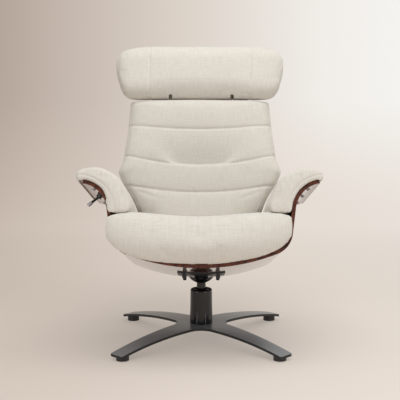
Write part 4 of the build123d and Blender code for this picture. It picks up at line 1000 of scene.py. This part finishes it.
def makePad(name, side, node, lip, crownDrop):
    # the section, soft line outside and wood line inside, carried along the slope; near each end the soft
    # line shrinks about the middle as a quarter round, and in front a lip may reach over the wood's edge
    soft = smoothLine(pad["outline"], 8)
    soft[:, 0] += side * chair["shift"]
    soft[:, 1] -= crownDrop * np.clip((soft[:, 1] - 0.27) / 0.04, 0, 1)
    wood, runs = woodLine()
    outline = np.concatenate([soft, wood])
    middle = outline.mean(axis=0)
    away = outline - middle
    length = np.linalg.norm(away, axis=1)
    isSoft = np.arange(len(outline)) < len(soft)
    outline = middle + away * (1 - pad["inset"] * isSoft / length)[:, None]
    front, rear = pad["front"] + pad["inset"], pad["rear"] - pad["inset"]
    lipRear = pad["front"] + pad["lipDepth"]
    corner = pad["endRound"] * (1 - np.cos(np.linspace(0, math.pi / 2, 7)))
    between = np.linspace(front + pad["endRound"], rear - pad["endRound"], 40)[1:-1]
    y = np.sort(np.concatenate([front + corner, [lipRear, lipRear + 0.0001], between, rear - corner]))
    ends = np.clip(np.minimum(y - front, rear - y) / pad["endRound"], 0, 1)
    shrink = pad["endRound"] * (1 - np.sqrt(1 - (1 - ends) ** 2))
    # the lower end of the front goes down to the seat unrounded
    foot = np.clip((outline[:, 1] - pad["footTop"]) / pad["footRise"], 0, 1)[None, :]
    keep = isSoft[None, :] * np.where(y[:, None] < 0, foot, 1)
    grid = middle + (outline - middle)[None, :, :] * (1 - shrink[:, None] * keep / length[None, :])[:, :, None]
    over = np.append(np.zeros(len(soft)), np.clip((runs - pad["lipEnd"]) / pad["lipFade"], 0, 1))
    over = over[None, :] * (y <= lipRear)[:, None] * np.minimum(1, ends[:, None] * 4) * lip
    outwards = np.append(np.zeros(len(soft)), runs)
    x = grid[:, :, 0] + over * np.sin(outwards)
    w = grid[:, :, 1] - over * np.cos(outwards)
    made = closedTube(name, slopeToWorld(side * x, y[:, None], w), flip=side > 0)
    # a notch at the rear makes room for the back's pivot
    (inner, outer), bottom, top = pad["notchSides"], pad["notchBottom"], pad["notchTop"]
    notchX, notchW = np.array([inner, outer, outer, inner]), np.array([bottom, bottom, top, top])
    rings = [slopeToWorld(side * notchX, yEnd, notchW) for yEnd in (pad["notchFront"], pad["notchRear"])]
    cutAway(made, closedTube("notch", np.array(rings), flip=side > 0))
    evenCells(made, pad["voxel"])
    relax(made, 2)
    place = worldToSlope(coordinates(made.data))
    offWood = woodDistance(place)
    atNotch = (place[:, 1] > pad["notchFront"] - 0.006) & (place[:, 2] < pad["notchTop"] + 0.006)
    held = (offWood < 0.007) | atNotch
    swell(made, pad["pressure"], pad["swellCap"], held)
    relax(made, 2)
    divide(made)
    points = coordinates(made.data)
    facing = normals(made.data)
    offWood = woodDistance(worldToSlope(points))
    seam = groove(offWood - pad["seamOffset"], pad["seamWidth"], pad["seamDepth"])
    seam = seam * (np.abs(facing[:, 0]) < 0.9)
    points = points - facing * seam[:, None] + facing * ripple(points, pad["unevenness"])
    place = worldToSlope(points)
    x, w = np.abs(place[:, 0]), place[:, 2]
    # pushed back out of the wood where the swelling reached it
    offX, offW = x - curlCentre[0], w - curlCentre[1]
    reach = np.hypot(offX, offW)
    clear = woodReach + pad["woodClear"]
    overCurl = (w > pad["curlFrom"]) & (x < curlCentre[0]) & (reach < clear)
    behindEdge = place[:, 1] > lipRear + 0.0003
    push = np.where(overCurl & behindEdge, clear / np.maximum(reach, 1e-6), 1.0)
    x, w = curlCentre[0] + offX * push, curlCentre[1] + offW * push
    onWall = (w <= pad["curlFrom"]) & behindEdge
    x = np.where(onWall, np.minimum(x, wallInside(w) - pad["woodClear"]), x)
    setCoordinates(made.data, slopeToWorld(side * x, place[:, 1], w))
    # the cloth lies flat on the front end and runs round the rest
    onEnd = place[:, 1] < pad["front"] + 0.012
    around = np.arctan2(w - middle[1], x - middle[0]) * 0.09
    weaveMap(made.data, np.where(onEnd, w, place[:, 1]), np.where(onEnd, x, around))
    finishPiece(made, linenCloth, "shell", "fabric", node, fill=0.9)


makeSeat()
makeBack()
makeCover()
makeHeadrest()
makePad("armPadLeft", -1, "arm_pad_left", pad["lip"], pad["crownDropLeft"])
makePad("armPadRight", 1, "arm_pad_right", 0.0, pad["crownDropRight"])

studio = {
    "floorReach": 9.0,
    "wallY": 4.5,
    "bend": 1.6,
    "wallHeight": 6.0,
    "halfWidth": 9.0,
    # wall and floor colours run from darker on the left to lighter on the right: painted shade and light across
    # the backdrop
    "wallColours": [
        (0.0, (0.46, 0.375, 0.32)), (0.45, (0.71, 0.64, 0.575)),
        (0.8, (0.88, 0.85, 0.81)), (1.0, (0.91, 0.90, 0.87)),
    ],
    "floorColours": [(0.0, (0.52, 0.435, 0.37)), (0.5, (0.77, 0.69, 0.62)), (1.0, (0.82, 0.765, 0.71))],
    "lowPower": 3.5,
    "topPower": 57,
    "backPower": 10,
    "worldStrength": 0.52,
    "nearGlow": 0.45,
}


def makeBackdrop():
    # floor, quarter round and wall as one profile carried along x
    turn = np.linspace(0, math.pi / 2, 24)
    centre = np.array([studio["wallY"] - studio["bend"], studio["bend"]])
    flat = np.stack([np.linspace(-studio["floorReach"], centre[0], 30), np.zeros(30)], axis=-1)
    curve = centre + studio["bend"] * np.stack([np.sin(turn), -np.cos(turn)], axis=-1)
    wall = np.array([[studio["wallY"], studio["wallHeight"]]])
    profile = np.concatenate([flat, curve[1:], wall])
    across = np.linspace(-studio["halfWidth"], studio["halfWidth"], 3)
    grid = np.stack(np.broadcast_arrays(across[:, None], profile[None, :, 0], profile[None, :, 1]), axis=-1)
    rows, columns = grid.shape[:2]
    index = np.arange(rows * columns).reshape(rows, columns)
    made = meshObject("backdrop", grid, gridQuads(index[:, 1:], index[:, :-1]))
    made.data.polygons.foreach_set("use_smooth", np.ones(len(made.data.polygons), dtype=bool))
    tinted, tree, shader = newMaterial("backdropPaint", **{"Roughness": 0.95, "Specular IOR Level": 0.1})
    place = addNode(tree, "ShaderNodeSeparateXYZ", {"Vector": objectPlace(tree)})
    # the colour darkens towards the left: painted shade across the backdrop
    sideways = mapRange(tree, place.outputs["X"], (-1.6, 1.6))
    wallColour, floorColour = (ramp(tree, sideways, studio[key]) for key in ("wallColours", "floorColours"))
    upward = mapRange(tree, place.outputs["Z"], (0.02, 0.7))
    colour = addNode(
        tree, "ShaderNodeMixRGB", {"Fac": upward, "Color1": floorColour, "Color2": wallColour}
    ).outputs["Color"]
    tree.links.new(colour, shader.inputs["Base Color"])
    # far off, what the camera and the gloss see is the paint's own colour, whatever the lamps do
    paths = addNode(tree, "ShaderNodeLightPath")
    seen = mathNode(tree, "MAXIMUM", paths.outputs["Is Camera Ray"], paths.outputs["Is Glossy Ray"])
    seen = mathNode(tree, "MAXIMUM", seen, paths.outputs["Is Transmission Ray"])
    farther = mapRange(tree, place.outputs["Y"], (0.7, 2.4), (studio["nearGlow"], 1.0))
    glow = addNode(tree, "ShaderNodeEmission", {"Color": colour, "Strength": 1.0})
    mixed = addNode(tree, "ShaderNodeMixShader", {"Fac": mathNode(tree, "MULTIPLY", seen, farther)})
    tree.links.new(shader.outputs["BSDF"], mixed.inputs[1])
    tree.links.new(glow.outputs["Emission"], mixed.inputs[2])
    tree.links.new(mixed.outputs["Shader"], tree.nodes["Material Output"].inputs["Surface"])
    made.data.materials.append(tinted)


def areaLamp(name, place, target, size, power):
    # a white rectangle at the place, turned to shine at the target
    lamp = bpy.data.lights.new(name, "AREA")
    lamp.shape = "RECTANGLE"
    lamp.size, lamp.size_y = size
    lamp.energy = power
    made = bpy.data.objects.new(name, lamp)
    scene.collection.objects.link(made)
    made.location = place
    away = np.array(place) - np.array(target)
    lean = math.acos(away[2] / np.linalg.norm(away))
    made.rotation_euler = (lean, 0, math.atan2(away[1], away[0]) + math.pi / 2)


makeBackdrop()
for name, x in (("rightLamp", 1.25), ("leftLamp", -1.25)):
    areaLamp(name, (x, -1.3, 0.26), (0, 0, 0.62), (0.24, 0.5), studio["lowPower"])
areaLamp("topLamp", (0.3, -0.9, 3.2), (0, 0, 0.5), (2.6, 1.8), studio["topPower"])
areaLamp("backLamp", (0.6, 2.0, 3.0), (0, 0, 0.6), (2.4, 1.2), studio["backPower"])
world = bpy.data.worlds.new("studioWorld")
world.use_nodes = True
background = world.node_tree.nodes["Background"]
background.inputs["Color"].default_value = (1.0, 0.985, 0.965, 1)
background.inputs["Strength"].default_value = studio["worldStrength"]
scene.world = world

view = {"place": (0, -3.25, 0.918), "pitch": math.radians(7.6), "lens": 86.66, "shift": -0.0031}
camera = bpy.data.objects.new("camera", bpy.data.cameras.new("camera"))
scene.collection.objects.link(camera)
camera.location = view["place"]
camera.rotation_euler = (math.pi / 2 - view["pitch"], 0, 0)
camera.data.lens = view["lens"]
camera.data.sensor_width = 36
camera.data.shift_x = view["shift"]
scene.camera = camera
scene.view_settings.view_transform = "Standard"
print("camera, lamps and backdrop done")
